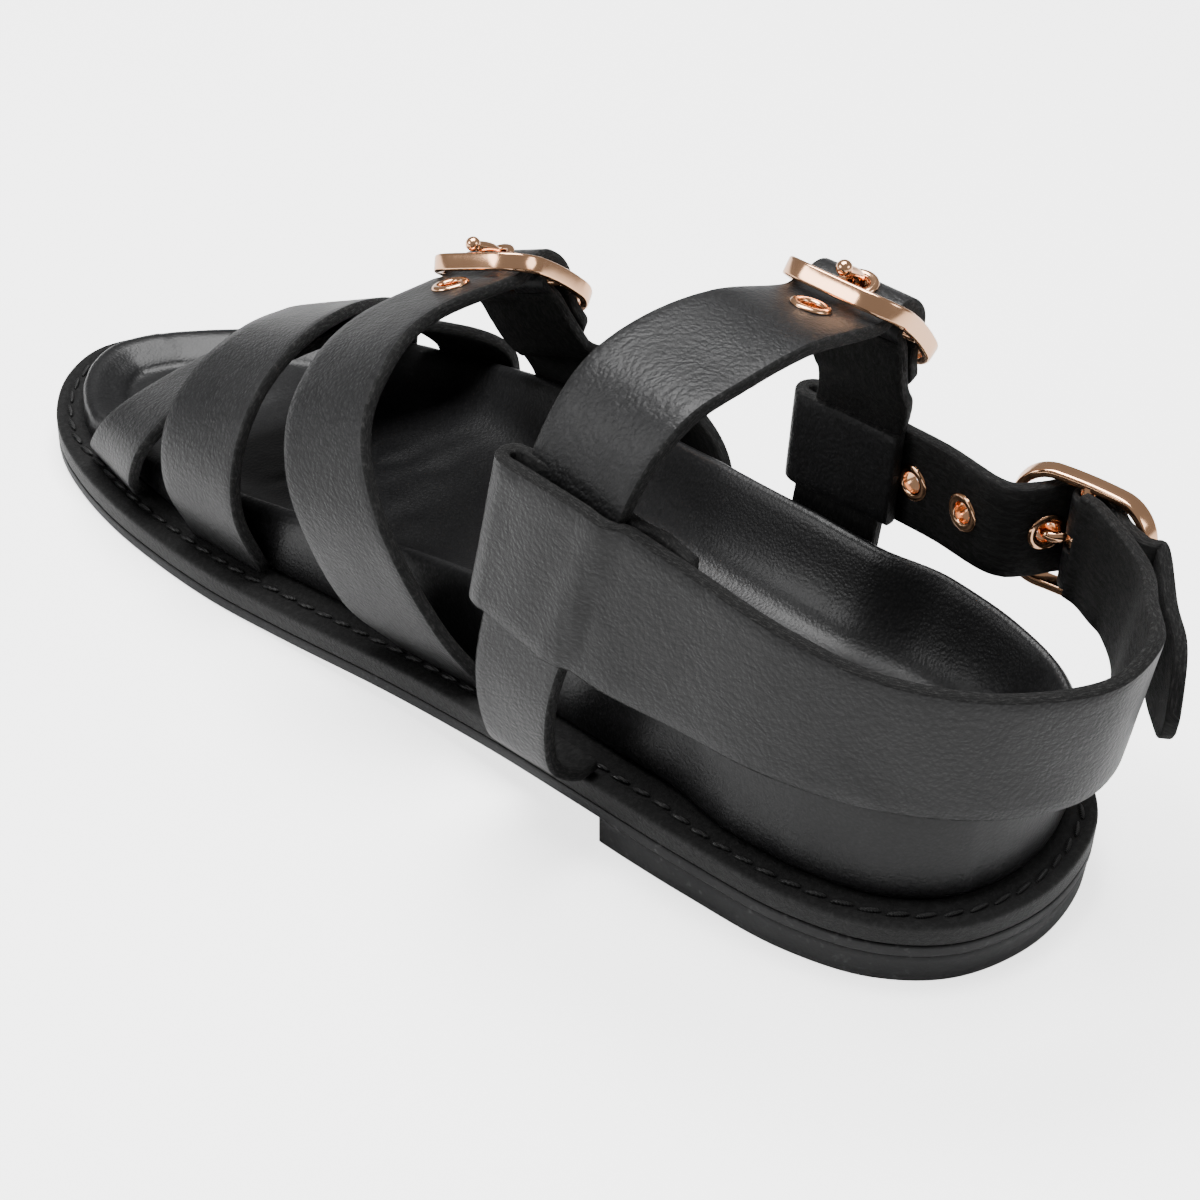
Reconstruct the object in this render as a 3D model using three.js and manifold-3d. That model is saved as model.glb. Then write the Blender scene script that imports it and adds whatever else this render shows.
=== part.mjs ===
// Gladiator sandal for the right foot: moulded outsole with a low heel, welted midsole,
// contoured footbed, crossed toe straps, a buckled instep strap, a buckled ankle strap
// and a buckled heel strap. Millimetres. +Y runs to the toe, +X to the outer (lateral)
// side, +Z up. The origin is the middle of the heel's ground face.
import * as THREE from 'three';
import * as BufferGeometryUtils from 'three/addons/utils/BufferGeometryUtils.js';
import Module from 'manifold-3d';

const wasm = await Module();
wasm.setup();

// ---- Driving sizes ----------------------------------------------------------------
const LENGTH = 258.5;         // outsole, heel back to toe tip
const ORIGIN_STATION = 36;   // distance of the origin from the heel back
const HEEL_LIFT = 6.6;       // height of the heel block under the sole plate
const HEEL_BREAST = 74;      // station of the heel block's front face
const BALL_START = 182;      // the plate lies flat on the ground between these stations
const BALL_END = 210;
const TOE_SPRING = 3.5;      // height of the toe tip's underside
const PLATE = 3;             // outsole plate thickness
const MIDSOLE = 4.6;         // midsole thickness
const GAP = 0.3;             // clearance between neighbouring pieces
const LEATHER = 2.6;         // strap thickness
const EDGE = 0.5;            // chamfer on strap edges
const RING = 60;             // points round each outline

// ---- Outline and heights of the last, one row for each cross-section --------------
// station: distance from the heel back; medial, lateral: outline of the sole;
// rimMedial, rimLateral: height of the footbed's rim; floor: height inside the footbed
const LAST = [
  { station: 0.0, medial: 0.0, lateral: 0.0, rimMedial: 37.6, rimLateral: 37.6, floor: 23.0 },
  { station: 4.8, medial: -18.8, lateral: 20.2, rimMedial: 37.8, rimLateral: 37.8, floor: 22.5 },
  { station: 15.9, medial: -30.2, lateral: 30.7, rimMedial: 38.0, rimLateral: 38.2, floor: 21.8 },
  { station: 32, medial: -36.4, lateral: 36.4, rimMedial: 38.0, rimLateral: 38.6, floor: 21.4 },
  { station: 53, medial: -38.6, lateral: 38.2, rimMedial: 38.2, rimLateral: 39.4, floor: 21.4 },
  { station: 80, medial: -39.6, lateral: 38.6, rimMedial: 38.2, rimLateral: 39.2, floor: 21.6 },
  { station: 106, medial: -39.6, lateral: 40.0, rimMedial: 36.6, rimLateral: 37.6, floor: 20.8 },
  { station: 133, medial: -40.2, lateral: 43.8, rimMedial: 30.8, rimLateral: 33.4, floor: 17.8 },
  { station: 160, medial: -42.2, lateral: 48.3, rimMedial: 25.2, rimLateral: 27.4, floor: 14.6 },
  { station: 181, medial: -43.8, lateral: 50.6, rimMedial: 21.0, rimLateral: 21.0, floor: 12.6 },
  { station: 196, medial: -43.8, lateral: 50.6, rimMedial: 17.8, rimLateral: 16.8, floor: 11.8 },
  { station: 212, medial: -42.6, lateral: 46.4, rimMedial: 15.6, rimLateral: 15.0, floor: 11.4 },
  { station: 228, medial: -39.6, lateral: 35.0, rimMedial: 15.0, rimLateral: 14.6, floor: 11.2 },
  { station: 240, medial: -35.4, lateral: 23.4, rimMedial: 15.2, rimLateral: 14.8, floor: 11.4 },
  { station: 249, medial: -29.2, lateral: 12.4, rimMedial: 15.4, rimLateral: 15.2, floor: 11.8 },
  { station: 255.5, medial: -20.8, lateral: 1.6, rimMedial: 15.6, rimLateral: 15.5, floor: 12.2 },
  { station: LENGTH, medial: -10.2, lateral: -10.2, rimMedial: 15.8, rimLateral: 15.8, floor: 12.4 },
];

const smooth = (t) => {
  const c = THREE.MathUtils.clamp(t, 0, 1);
  return c * c * (3 - 2 * c);
};

function lastValue(column, station) {
  let i = 1;
  while (i < LAST.length - 1 && LAST[i].station < station) i += 1;
  const low = LAST[i - 1];
  const high = LAST[i];
  const t = THREE.MathUtils.clamp((station - low.station) / (high.station - low.station), 0, 1);
  return low[column] + (high[column] - low[column]) * t;
}

// underside of the sole plate above the ground
function underside(station) {
  if (station < HEEL_BREAST) return HEEL_LIFT;
  if (station < BALL_START) {
    return HEEL_LIFT * (1 - smooth((station - HEEL_BREAST) / (BALL_START - HEEL_BREAST)));
  }
  if (station < BALL_END) return 0;
  return TOE_SPRING * ((station - BALL_END) / (LENGTH - BALL_END)) ** 2;
}
const plateTop = (station) => underside(station) + PLATE;
const weltTop = (station) => plateTop(station) + MIDSOLE;

// ---- Meshes and solids ------------------------------------------------------------
function geometryOf(points, triangles) {
  const geometry = new THREE.BufferGeometry();
  geometry.setAttribute('position', new THREE.Float32BufferAttribute(points.flat(), 3));
  geometry.setIndex(triangles);
  return geometry;
}

function solidOf(geometry) {
  const bare = geometry.clone();
  bare.deleteAttribute('normal');
  bare.deleteAttribute('uv');
  const merged = BufferGeometryUtils.mergeVertices(bare, 1e-5);
  return new wasm.Manifold(new wasm.Mesh({
    numProp: 3,
    vertProperties: new Float32Array(merged.attributes.position.array),
    triVerts: new Uint32Array(merged.index.array),
  }));
}

function geometryFrom(solid) {
  const mesh = solid.getMesh();
  const geometry = new THREE.BufferGeometry();
  geometry.setAttribute('position', new THREE.Float32BufferAttribute(mesh.vertProperties, 3));
  geometry.setIndex([...mesh.triVerts]);
  return geometry;
}

// closed body from rings of equal length; the first and last rings are closed by `cap`
function loft(rings, cap) {
  const count = rings[0].length;
  const points = rings.flat();
  const triangles = [];
  for (let r = 0; r + 1 < rings.length; r += 1) {
    for (let i = 0; i < count; i += 1) {
      const a = r * count + i;
      const b = r * count + ((i + 1) % count);
      triangles.push(a, b, b + count, a, b + count, a + count);
    }
  }
  const top = (rings.length - 1) * count;
  for (const [i, j, k] of cap(count)) triangles.push(i, k, j, top + i, top + j, top + k);
  return geometryOf(points, triangles);
}

// fan for small convex rings
const fanCap = (count) => {
  const faces = [];
  for (let i = 1; i + 1 < count; i += 1) faces.push([0, i, i + 1]);
  return faces;
};

// strips across the foot for outlines that start at the heel and reach the toe halfway
const stripCap = (count) => {
  const faces = [];
  for (let i = 0; i < count / 2; i += 1) {
    const a = i;
    const b = i + 1;
    const c = (count - i - 1) % count;
    const d = (count - i) % count;
    if (i > 0) faces.push([a, b, d]);
    if (b !== c) faces.push([b, c, d]);
  }
  return faces;
};

// ---- Sole outline -----------------------------------------------------------------
// anticlockwise from the heel back, up the lateral side to the toe, back on the medial
const outlineCurve = new THREE.CatmullRomCurve3([
  ...LAST.map((row) => new THREE.Vector3(row.lateral, row.station, 0)),
  ...LAST.slice(1, -1).reverse().map((row) => new THREE.Vector3(row.medial, row.station, 0)),
], true, 'centripetal');
const TOE_AT = (LAST.length - 1) / (2 * LAST.length - 2);

function outline(inset) {
  const ring = [];
  for (let i = 0; i < RING; i += 1) {
    const half = RING / 2;
    const side = i <= half ? (i / half) * TOE_AT : TOE_AT + ((i - half) / half) * (1 - TOE_AT);
    const place = outlineCurve.getPoint(side % 1);
    const ahead = outlineCurve.getPoint((side + 0.004) % 1);
    const behind = outlineCurve.getPoint((side + 0.996) % 1);
    const run = ahead.sub(behind).normalize();
    ring.push([place.x - run.y * inset, place.y + run.x * inset]);
  }
  return ring;
}
const level = (ring, height) => ring.map(([x, y]) => [x, y, height(y, x)]);

// ---- Outsole: plate and heel block in one moulding --------------------------------
function makeOutsole() {
  const plan = outline(0);
  const groove = outline(0.5);
  const plate = solidOf(loft([
    level(groove, underside),
    level(plan, (y) => underside(y) + 0.6),
    level(plan, (y) => plateTop(y) - GAP),
  ], stripCap));
  const heel = solidOf(loft([
    level(outline(0.8), () => 0),
    level(outline(0.3), () => 0.6),
    level(plan, () => HEEL_LIFT + 1),
  ], stripCap));
  const front = new THREE.BoxGeometry(120, 240, 40).translate(0, HEEL_BREAST + 120, 0);
  return geometryFrom(plate.add(heel.subtract(solidOf(front))));
}

// ---- Midsole: its upper face is the welt round the footbed ------------------------
function makeMidsole() {
  return loft([
    level(outline(0.4), plateTop),
    level(outline(0), (y) => plateTop(y) + 0.4),
    level(outline(0), (y) => weltTop(y) - 0.7),
    level(outline(0.7), weltTop),
  ], stripCap);
}

// ---- Footbed: leather-wrapped, with a raised rim and a cupped heel -----------------
const WALL_INSET = { ends: 6.0, waist: 8.8 };   // wall's distance inside the sole outline
function footbedInset(station) {
  const inWaist = smooth((station - 48) / 18) * (1 - smooth((station - 224) / 14));
  return WALL_INSET.ends + (WALL_INSET.waist - WALL_INSET.ends) * inWaist;
}

// the innermost rings reach less far in at the toe, where the outline turns tightly
const TOE_REACH = { start: 210, length: 26, from: 9, kept: 0.25 };
function toeReach(extra, station) {
  const past = Math.max(extra - TOE_REACH.from, 0);
  return extra - past * (1 - TOE_REACH.kept) * smooth((station - TOE_REACH.start) / TOE_REACH.length);
}

function footbedRing(extra, height) {
  const near = outline(0);
  const far = outline(10);
  return near.map(([x, y], i) => {
    const t = (footbedInset(y) + toeReach(extra, y)) / 10;
    const px = x + (far[i][0] - x) * t;
    const py = y + (far[i][1] - y) * t;
    return [px, py, height(py, px)];
  });
}

function makeFootbed() {
  const rim = (y, x) => lastValue(x < 0 ? 'rimMedial' : 'rimLateral', y);
  const base = (y) => weltTop(y) + GAP;
  const floor = (y) => lastValue('floor', y);
  const between = (low, high, t) => (y, x) => low(y, x) + (high(y, x) - low(y, x)) * t;
  return loft([
    footbedRing(0.6, base),
    footbedRing(0, between(base, rim, 0.12)),
    footbedRing(0.3, between(base, rim, 0.75)),
    footbedRing(1.2, between(base, rim, 0.94)),
    footbedRing(2.8, rim),
    footbedRing(4.6, between(rim, floor, 0.14)),
    footbedRing(7.2, between(rim, floor, 0.48)),
    footbedRing(10.5, between(rim, floor, 0.8)),
    footbedRing(15, between(rim, floor, 0.97)),
    footbedRing(20, floor),
  ], stripCap);
}

// ---- Straps -----------------------------------------------------------------------
// A strap is a ribbon between two edge rails on its outer face. Each row of a table is
// one cross-section: front edge (fx, fy, fz) and back edge (bx, by, bz). The outer face
// looks along run x (front - back).
const vec = (x, y, z) => new THREE.Vector3(x, y, z);
const row = (r) => ({ front: vec(r.fx, r.fy, r.fz), back: vec(r.bx, r.by, r.bz) });

function ribbon(rows, sections, thickness = LEATHER) {
  const front = new THREE.CatmullRomCurve3(rows.map((r) => r.front), false, 'catmullrom', 0.5);
  const back = new THREE.CatmullRomCurve3(rows.map((r) => r.back), false, 'catmullrom', 0.5);
  const rings = [];
  for (let i = 0; i <= sections; i += 1) {
    const t = i / sections;
    const f = front.getPoint(t);
    const b = back.getPoint(t);
    const step = 0.25 / sections;
    const ahead = front.getPoint(Math.min(t + step, 1)).add(back.getPoint(Math.min(t + step, 1)));
    const behind = front.getPoint(Math.max(t - step, 0)).add(back.getPoint(Math.max(t - step, 0)));
    const run = ahead.sub(behind).normalize();
    const across = f.clone().sub(b).normalize();
    const out = run.clone().cross(across).normalize();
    const at = (edge, inward, down) => edge.clone()
      .addScaledVector(across, inward).addScaledVector(out, -down).toArray();
    rings.push([
      at(b, EDGE, 0), at(b, 0, EDGE), at(b, 0, thickness),
      at(f, 0, thickness), at(f, 0, EDGE), at(f, -EDGE, 0),
    ]);
  }
  return loft(rings, fanCap);
}

// ---- Buckles ----------------------------------------------------------------------
const BUCKLE = {
  length: 29, width: 26.4, corner: 8, band: 3.6, wall: 1.8, bend: 60, bar: -0.7,
  barRadius: 1.3, pinRadius: 1.1, ballRadius: 1.5, sleeve: 2.9,
};
const STRAP_HALF = 10.2;     // half width of a strap that passes through a buckle

// place of each buckle: middle of the centre bar, direction of the hole strap (run)
// and direction towards the strap's front edge (across)
function buckleFrame(centre, run, across) {
  const a = across.clone().normalize();
  const d = run.clone().addScaledVector(a, -run.dot(a)).normalize();
  return { centre, run: d, across: a, out: d.clone().cross(a) };
}

// point at u along the strap, v across it and w outwards, on the bent buckle
function onBuckle(frame, u, v, w) {
  const angle = u / BUCKLE.bend;
  const reach = BUCKLE.bend + w;
  return frame.centre.clone()
    .addScaledVector(frame.run, Math.sin(angle) * reach)
    .addScaledVector(frame.out, Math.cos(angle) * reach - BUCKLE.bend)
    .addScaledVector(frame.across, v);
}

const rowOnBuckle = (frame, u, w, half = STRAP_HALF) => ({
  front: onBuckle(frame, u, half, w),
  back: onBuckle(frame, u, -half, w),
});

function buckleRing(frame, inset, w) {
  const halfLength = BUCKLE.length / 2 - inset;
  const halfWidth = BUCKLE.width / 2 - inset;
  const radius = BUCKLE.corner - inset;
  const steps = 4;
  const ring = [];
  for (const [su, sv, start] of [[1, 1, 0], [-1, 1, 1], [-1, -1, 2], [1, -1, 3]]) {
    for (let i = 0; i <= steps; i += 1) {
      const angle = (start + i / steps) * Math.PI / 2;
      const u = su * (halfLength - radius) + Math.cos(angle) * radius;
      const v = sv * (halfWidth - radius) + Math.sin(angle) * radius;
      ring.push(onBuckle(frame, u, v, w).toArray());
    }
    if (sv * su > 0) {
      for (const t of [1 / 4, 2 / 4, 3 / 4]) {
        const u = su * (halfLength - radius) * (1 - 2 * t);
        ring.push(onBuckle(frame, u, su * halfWidth, w).toArray());
      }
    }
  }
  return ring;
}

function rod(from, to, radius, sides = 12) {
  const length = from.distanceTo(to);
  const geometry = new THREE.CylinderGeometry(radius, radius, length, sides);
  geometry.translate(0, length / 2, 0);
  geometry.applyQuaternion(new THREE.Quaternion()
    .setFromUnitVectors(vec(0, 1, 0), to.clone().sub(from).normalize()));
  return geometry.translate(from.x, from.y, from.z);
}

function makeBuckle(frame) {
  const half = BUCKLE.band / 2;
  const bevel = 0.5;
  const outer = [
    buckleRing(frame, bevel, -half), buckleRing(frame, 0, -half + bevel),
    buckleRing(frame, 0, half - bevel), buckleRing(frame, bevel, half),
    buckleRing(frame, BUCKLE.wall - bevel, half), buckleRing(frame, BUCKLE.wall, half - bevel),
    buckleRing(frame, BUCKLE.wall, -half + bevel), buckleRing(frame, BUCKLE.wall - bevel, -half),
  ];
  const count = outer[0].length;
  const triangles = [];
  outer.forEach((ring, r) => {
    const next = (r + 1) % outer.length;
    ring.forEach((point, i) => {
      const j = (i + 1) % count;
      triangles.push(r * count + i, r * count + j, next * count + j);
      triangles.push(r * count + i, next * count + j, next * count + i);
    });
  });
  const band = solidOf(geometryOf(outer.flat(), triangles));
  const reach = BUCKLE.width / 2 - BUCKLE.wall / 2;
  const bar = rod(onBuckle(frame, 0, -reach, BUCKLE.bar), onBuckle(frame, 0, reach, BUCKLE.bar), BUCKLE.barRadius);
  return geometryFrom(band.add(solidOf(bar)));
}

// pin: a ring hinged on the centre bar, a bent shank and a ball that rests on the end bar
function makePin(frame, hole) {
  const hinge = solidOf(new THREE.CylinderGeometry(2.5, 2.5, 2.6, 12)
    .applyQuaternion(new THREE.Quaternion().setFromUnitVectors(vec(0, 1, 0), frame.across))
    .translate(...onBuckle(frame, 0, 0, BUCKLE.bar).toArray()));
  const bore = solidOf(rod(onBuckle(frame, 0, -5, BUCKLE.bar), onBuckle(frame, 0, 5, BUCKLE.bar), BUCKLE.barRadius + GAP));
  const end = BUCKLE.length / 2;
  const top = BUCKLE.band / 2 + GAP + BUCKLE.pinRadius;
  const route = [
    onBuckle(frame, -1.7, 0, BUCKLE.bar), hole.centre.clone().addScaledVector(hole.out, -2.4),
    hole.centre.clone().addScaledVector(hole.out, 2.8), onBuckle(frame, -end + 1, 0, top + 0.1),
  ];
  let pin = hinge;
  for (let i = 0; i + 1 < route.length; i += 1) {
    const from = route[i];
    const to = route[i + 1];
    pin = pin.add(solidOf(rod(from, to, BUCKLE.pinRadius, 6)));
    pin = pin.add(solidOf(new THREE.SphereGeometry(BUCKLE.pinRadius * 0.98, 6, 4).translate(...to.toArray())));
  }
  const tip = onBuckle(frame, -end + 1.5, 0, BUCKLE.band / 2 + GAP + BUCKLE.ballRadius);
  pin = pin.add(solidOf(new THREE.SphereGeometry(BUCKLE.ballRadius, 8, 6).translate(...tip.toArray())));
  return geometryFrom(pin.subtract(bore));
}

// rows of a hole strap as it passes under, over and under the three bars of its buckle
function throughBuckle(frame) {
  const end = BUCKLE.length / 2;
  const under = -BUCKLE.band / 2 - GAP;
  const over = BUCKLE.bar + BUCKLE.sleeve + GAP + LEATHER;
  return [
    rowOnBuckle(frame, -end - 1, under - 1.8),
    rowOnBuckle(frame, -end + 4.5, under + 0.2),
    rowOnBuckle(frame, -4.5, over - 1.3),
    rowOnBuckle(frame, 0, over),
    rowOnBuckle(frame, 4.5, over - 1.3),
    rowOnBuckle(frame, end - 5, under + 1.0),
    rowOnBuckle(frame, end + 1, under - 0.5),
  ];
}

// sleeve of leather folded round the centre bar, with a slot for the pin
function foldOn(frame, strap) {
  const half = STRAP_HALF + 0.5;
  const axis = (length) => [onBuckle(frame, 0, -length, BUCKLE.bar), onBuckle(frame, 0, length, BUCKLE.bar)];
  const sleeve = solidOf(rod(...axis(half), BUCKLE.sleeve, 16));
  const bore = solidOf(rod(...axis(half + 2), BUCKLE.barRadius + GAP));
  const slot = solidOf(new THREE.CylinderGeometry(6, 6, 3.6, 16)
    .applyQuaternion(new THREE.Quaternion().setFromUnitVectors(vec(0, 1, 0), frame.across))
    .translate(...onBuckle(frame, -2.2, 0, 0.6).toArray()));
  return strap.add(sleeve).subtract(bore).subtract(slot);
}

// ---- Eyelets ----------------------------------------------------------------------
const EYELET = { bore: 2.1, barrel: 2.6, flange: 3.9, lip: 0.7 };
function eyeletGeometry(centre, out) {
  const top = LEATHER / 2 + GAP / 2;
  const { bore, barrel, flange, lip } = EYELET;
  const profile = [
    [bore, -top - lip], [flange, -top], [barrel, -top],
    [barrel, top], [flange, top], [bore, top + lip], [bore, -top - lip],
  ].map(([x, y]) => new THREE.Vector2(x, y));
  const ring = new THREE.LatheGeometry(profile, 10);
  ring.applyQuaternion(new THREE.Quaternion().setFromUnitVectors(vec(0, 1, 0), out));
  return ring.translate(centre.x, centre.y, centre.z);
}

function holeCutter(centre, out) {
  const from = centre.clone().addScaledVector(out, -4);
  return solidOf(rod(from, centre.clone().addScaledVector(out, 4), EYELET.barrel + GAP, 10));
}

// flat seat under an eyelet's flange on a curved strap
function seatCutter(centre, out, side) {
  const seat = LEATHER / 2 - GAP / 2;
  return solidOf(rod(centre.clone().addScaledVector(out, side * seat),
    centre.clone().addScaledVector(out, side * (seat + 3)), EYELET.flange + GAP, 10));
}

// place on a ribbon: t along its rows, middle of its thickness
function onRibbon(rows, t) {
  const front = new THREE.CatmullRomCurve3(rows.map((r) => r.front), false, 'catmullrom', 0.5);
  const back = new THREE.CatmullRomCurve3(rows.map((r) => r.back), false, 'catmullrom', 0.5);
  const f = front.getPoint(t);
  const b = back.getPoint(t);
  const run = front.getPoint(t + 0.005).add(back.getPoint(t + 0.005))
    .sub(front.getPoint(t - 0.005)).sub(back.getPoint(t - 0.005)).normalize();
  const out = run.cross(f.clone().sub(b).normalize()).normalize();
  return { out, centre: f.add(b).multiplyScalar(0.5).addScaledVector(out, -LEATHER / 2) };
}

// ---- Toe straps -------------------------------------------------------------------
const TOE_UNDER = [   // from the medial toe back to the lateral ball
  { fx: -35.0, fy: 229, fz: 9.4, bx: -38.3, by: 210, bz: 8.6 },
  { fx: -38.5, fy: 224.5, fz: 16, bx: -42.5, by: 206, bz: 17 },
  { fx: -36.5, fy: 220, fz: 24, bx: -41, by: 202.5, bz: 27 },
  { fx: -26, fy: 218, fz: 28, bx: -31, by: 200, bz: 34 },
  { fx: -8, fy: 214.5, fz: 31.5, bx: -10, by: 196, bz: 38 },
  { fx: 12, fy: 209.5, fz: 32.5, bx: 10, by: 190.5, bz: 39.5 },
  { fx: 30, fy: 204, fz: 28, bx: 29.5, by: 184, bz: 34.5 },
  { fx: 42.8, fy: 201.5, fz: 18, bx: 44.2, by: 179, bz: 24 },
  { fx: 45.3, fy: 200.5, fz: 8.2, bx: 46, by: 178, bz: 8.6 },
];
const TOE_OVER = [    // from the medial ball forward to the lateral toe
  { fx: -38.2, fy: 192, fz: 8.6, bx: -37.5, by: 170.5, bz: 9.4 },
  { fx: -42.2, fy: 195, fz: 22, bx: -42.2, by: 172, bz: 24 },
  { fx: -39.5, fy: 196.5, fz: 35, bx: -41, by: 173, bz: 37 },
  { fx: -28.5, fy: 199, fz: 42.5, bx: -33, by: 175.5, bz: 47.5 },
  { fx: -14, fy: 202.5, fz: 43.5, bx: -18, by: 180.5, bz: 51.5 },
  { fx: 1, fy: 207, fz: 39.6, bx: 0, by: 186, bz: 49.6 },
  { fx: 13, fy: 212, fz: 33.5, bx: 16, by: 192, bz: 43 },
  { fx: 23.5, fy: 217.5, fz: 25.5, bx: 30.5, by: 200, bz: 32.5 },
  { fx: 30.4, fy: 223.4, fz: 16.5, bx: 41, by: 206.4, bz: 21 },
  { fx: 32, fy: 226.4, fz: 8.9, bx: 42.8, by: 208.8, bz: 8.4 },
];
function makeToeStraps() {
  const under = solidOf(ribbon(TOE_UNDER.map(row), 26));
  const over = solidOf(ribbon(TOE_OVER.map(row), 30));
  return geometryFrom(over.add(under));
}

// ---- Instep strap -----------------------------------------------------------------
const instepBuckle = buckleFrame(vec(21, 157, 61.4), vec(0.762, -0.132, -0.634), vec(-0.14, 0.922, -0.361));
const INSTEP_MEDIAL = [
  { fx: -35.5, fy: 132.5, fz: 11.6, bx: -34.6, by: 107.5, bz: 13.2 },
  { fx: -42.5, fy: 141, fz: 22, bx: -41, by: 115, bz: 27 },
  { fx: -46, fy: 150, fz: 42, bx: -44.5, by: 126, bz: 47 },
  { fx: -39.5, fy: 158.5, fz: 53.5, bx: -39, by: 137, bz: 61.5 },
  { fx: -27, fy: 164.5, fz: 59.5, bx: -26, by: 143.5, bz: 69.5 },
  { fx: -12, fy: 168, fz: 61.5, bx: -10, by: 148.5, bz: 70.5 },
];
const INSTEP_LATERAL = [
  { fx: 37.5, fy: 169.5, fz: 33, bx: 34.2, by: 132, bz: 48.5 },
  { fx: 42.2, fy: 169.5, fz: 26, bx: 37, by: 119, bz: 41 },
  { fx: 44.4, fy: 169, fz: 19, bx: 37.4, by: 110, bz: 31.5 },
  { fx: 43.6, fy: 168.5, fz: 9.8, bx: 34.4, by: 104, bz: 13.4 },
];
const tailOf = (frame, reach) => [
  rowOnBuckle(frame, BUCKLE.length / 2 + reach, -2.3, STRAP_HALF - 3),
];
const underFold = (frame) => [
  rowOnBuckle(frame, 0.5, -1.4),
  rowOnBuckle(frame, 4, -2.2),
  rowOnBuckle(frame, 9, -4.3),
  rowOnBuckle(frame, 15, -5.8),
  rowOnBuckle(frame, 20, -5.5),
];

// a hole strap with its eyelets; holes lists positions along the rows
function holeStrap(rows, sections, holes) {
  let strap = solidOf(ribbon(rows, sections));
  for (const t of holes) {
    const { centre, out } = onRibbon(rows, t);
    strap = strap.subtract(holeCutter(centre, out)).subtract(seatCutter(centre, out, 1))
      .subtract(seatCutter(centre, out, -1));
  }
  return strap;
}

// ---- Ankle strap ------------------------------------------------------------------
const ankleBuckle = buckleFrame(vec(25, 73.5, 90.2), vec(0.68, 0.06, -0.73), vec(-0.06, 0.998, 0.02));
const ANKLE_MEDIAL = [
  { fx: -36.8, fy: 93.5, fz: 14.4, bx: -36.8, by: 77, bz: 14.9 },
  { fx: -42, fy: 94.5, fz: 14.3, bx: -42, by: 77.5, bz: 14.9 },
  { fx: -47.5, fy: 95.5, fz: 19.5, bx: -47.5, by: 79, bz: 20.5 },
  { fx: -50.3, fy: 96, fz: 34, bx: -50.3, by: 77.5, bz: 36 },
  { fx: -49.8, fy: 94.5, fz: 50, bx: -49.8, by: 74, bz: 52 },
  { fx: -47.4, fy: 91, fz: 70, bx: -47.4, by: 69, bz: 72 },
  { fx: -42.6, fy: 88.8, fz: 87.5, bx: -43.6, by: 65, bz: 89.5 },
  { fx: -34, fy: 87.5, fz: 98.5, bx: -35, by: 62.5, bz: 99.5 },
  { fx: -21, fy: 86, fz: 102.5, bx: -22, by: 61.5, bz: 101.5 },
  { fx: -6, fy: 83.5, fz: 102.5, bx: -6, by: 61, bz: 101.5 },
];
const ANKLE_LATERAL = [
  { fx: 36.2, fy: 88.2, fz: 61, bx: 36.2, by: 67.6, bz: 62 },
  { fx: 38.1, fy: 91, fz: 50, bx: 38.1, by: 70.2, bz: 51 },
  { fx: 37.6, fy: 92.2, fz: 34, bx: 37.4, by: 71.4, bz: 35 },
  { fx: 34.8, fy: 92, fz: 14.4, bx: 34.6, by: 71, bz: 15 },
];

// ---- Heel strap -------------------------------------------------------------------
// front is the upper edge and back the lower edge as the strap runs round the heel
const HEEL_BAND = [     // starts inside the ankle strap, folds round its front edge
  { fx: -41.8, fy: 54, fz: 79, bx: -42.6, by: 54, bz: 47 },
  { fx: -41.5, fy: 66, fz: 81.5, bx: -44, by: 67, bz: 48 },
  { fx: -41.8, fy: 80, fz: 83, bx: -45, by: 82, bz: 50.5 },
  { fx: -42.2, fy: 87.5, fz: 83.5, bx: -45.1, by: 91, bz: 52.3 },
  { fx: -42.4, fy: 90.7, fz: 83.6, bx: -45.2, by: 94, bz: 52.5 },
  { fx: -43.4, fy: 93.2, fz: 83.7, bx: -46.2, by: 96.5, bz: 52.8 },
  { fx: -45.9, fy: 94.2, fz: 83.8, bx: -48.8, by: 97.6, bz: 53 },
  { fx: -48.4, fy: 93.2, fz: 83.8, bx: -51.4, by: 96.5, bz: 52.8 },
  { fx: -49.4, fy: 90.7, fz: 83.8, bx: -52.4, by: 94, bz: 52.5 },
  { fx: -49.5, fy: 87.5, fz: 83.8, bx: -52.4, by: 91, bz: 52.3 },
  { fx: -49.6, fy: 79, fz: 83.6, bx: -52.3, by: 81, bz: 50.5 },
  { fx: -48.6, fy: 65, fz: 82, bx: -51.2, by: 66, bz: 48 },
  { fx: -46, fy: 50, fz: 78.5, bx: -47, by: 50, bz: 46.5 },
  { fx: -42.5, fy: 34, fz: 75, bx: -43, by: 33, bz: 45 },
  { fx: -36, fy: 18, fz: 71, bx: -35.5, by: 17, bz: 43.5 },
  { fx: -24, fy: 3, fz: 69, bx: -23.5, by: 3, bz: 42.5 },
  { fx: -7, fy: -7, fz: 68, bx: -8, by: -5, bz: 41.5 },
  { fx: 9, fy: -6, fz: 67.5, bx: 6.5, by: -4, bz: 41 },
  { fx: 20.5, fy: 2.2, fz: 66, bx: 17.5, by: 3.4, bz: 40.5 },
  { fx: 29.3, fy: 8.8, fz: 64.4, bx: 28.4, by: 9.8, bz: 40.2 },
];
const heelBuckle = buckleFrame(vec(41.8, 30.6, 52.4), vec(0.1, -0.96, -0.2), vec(0, 0, -1));
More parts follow.
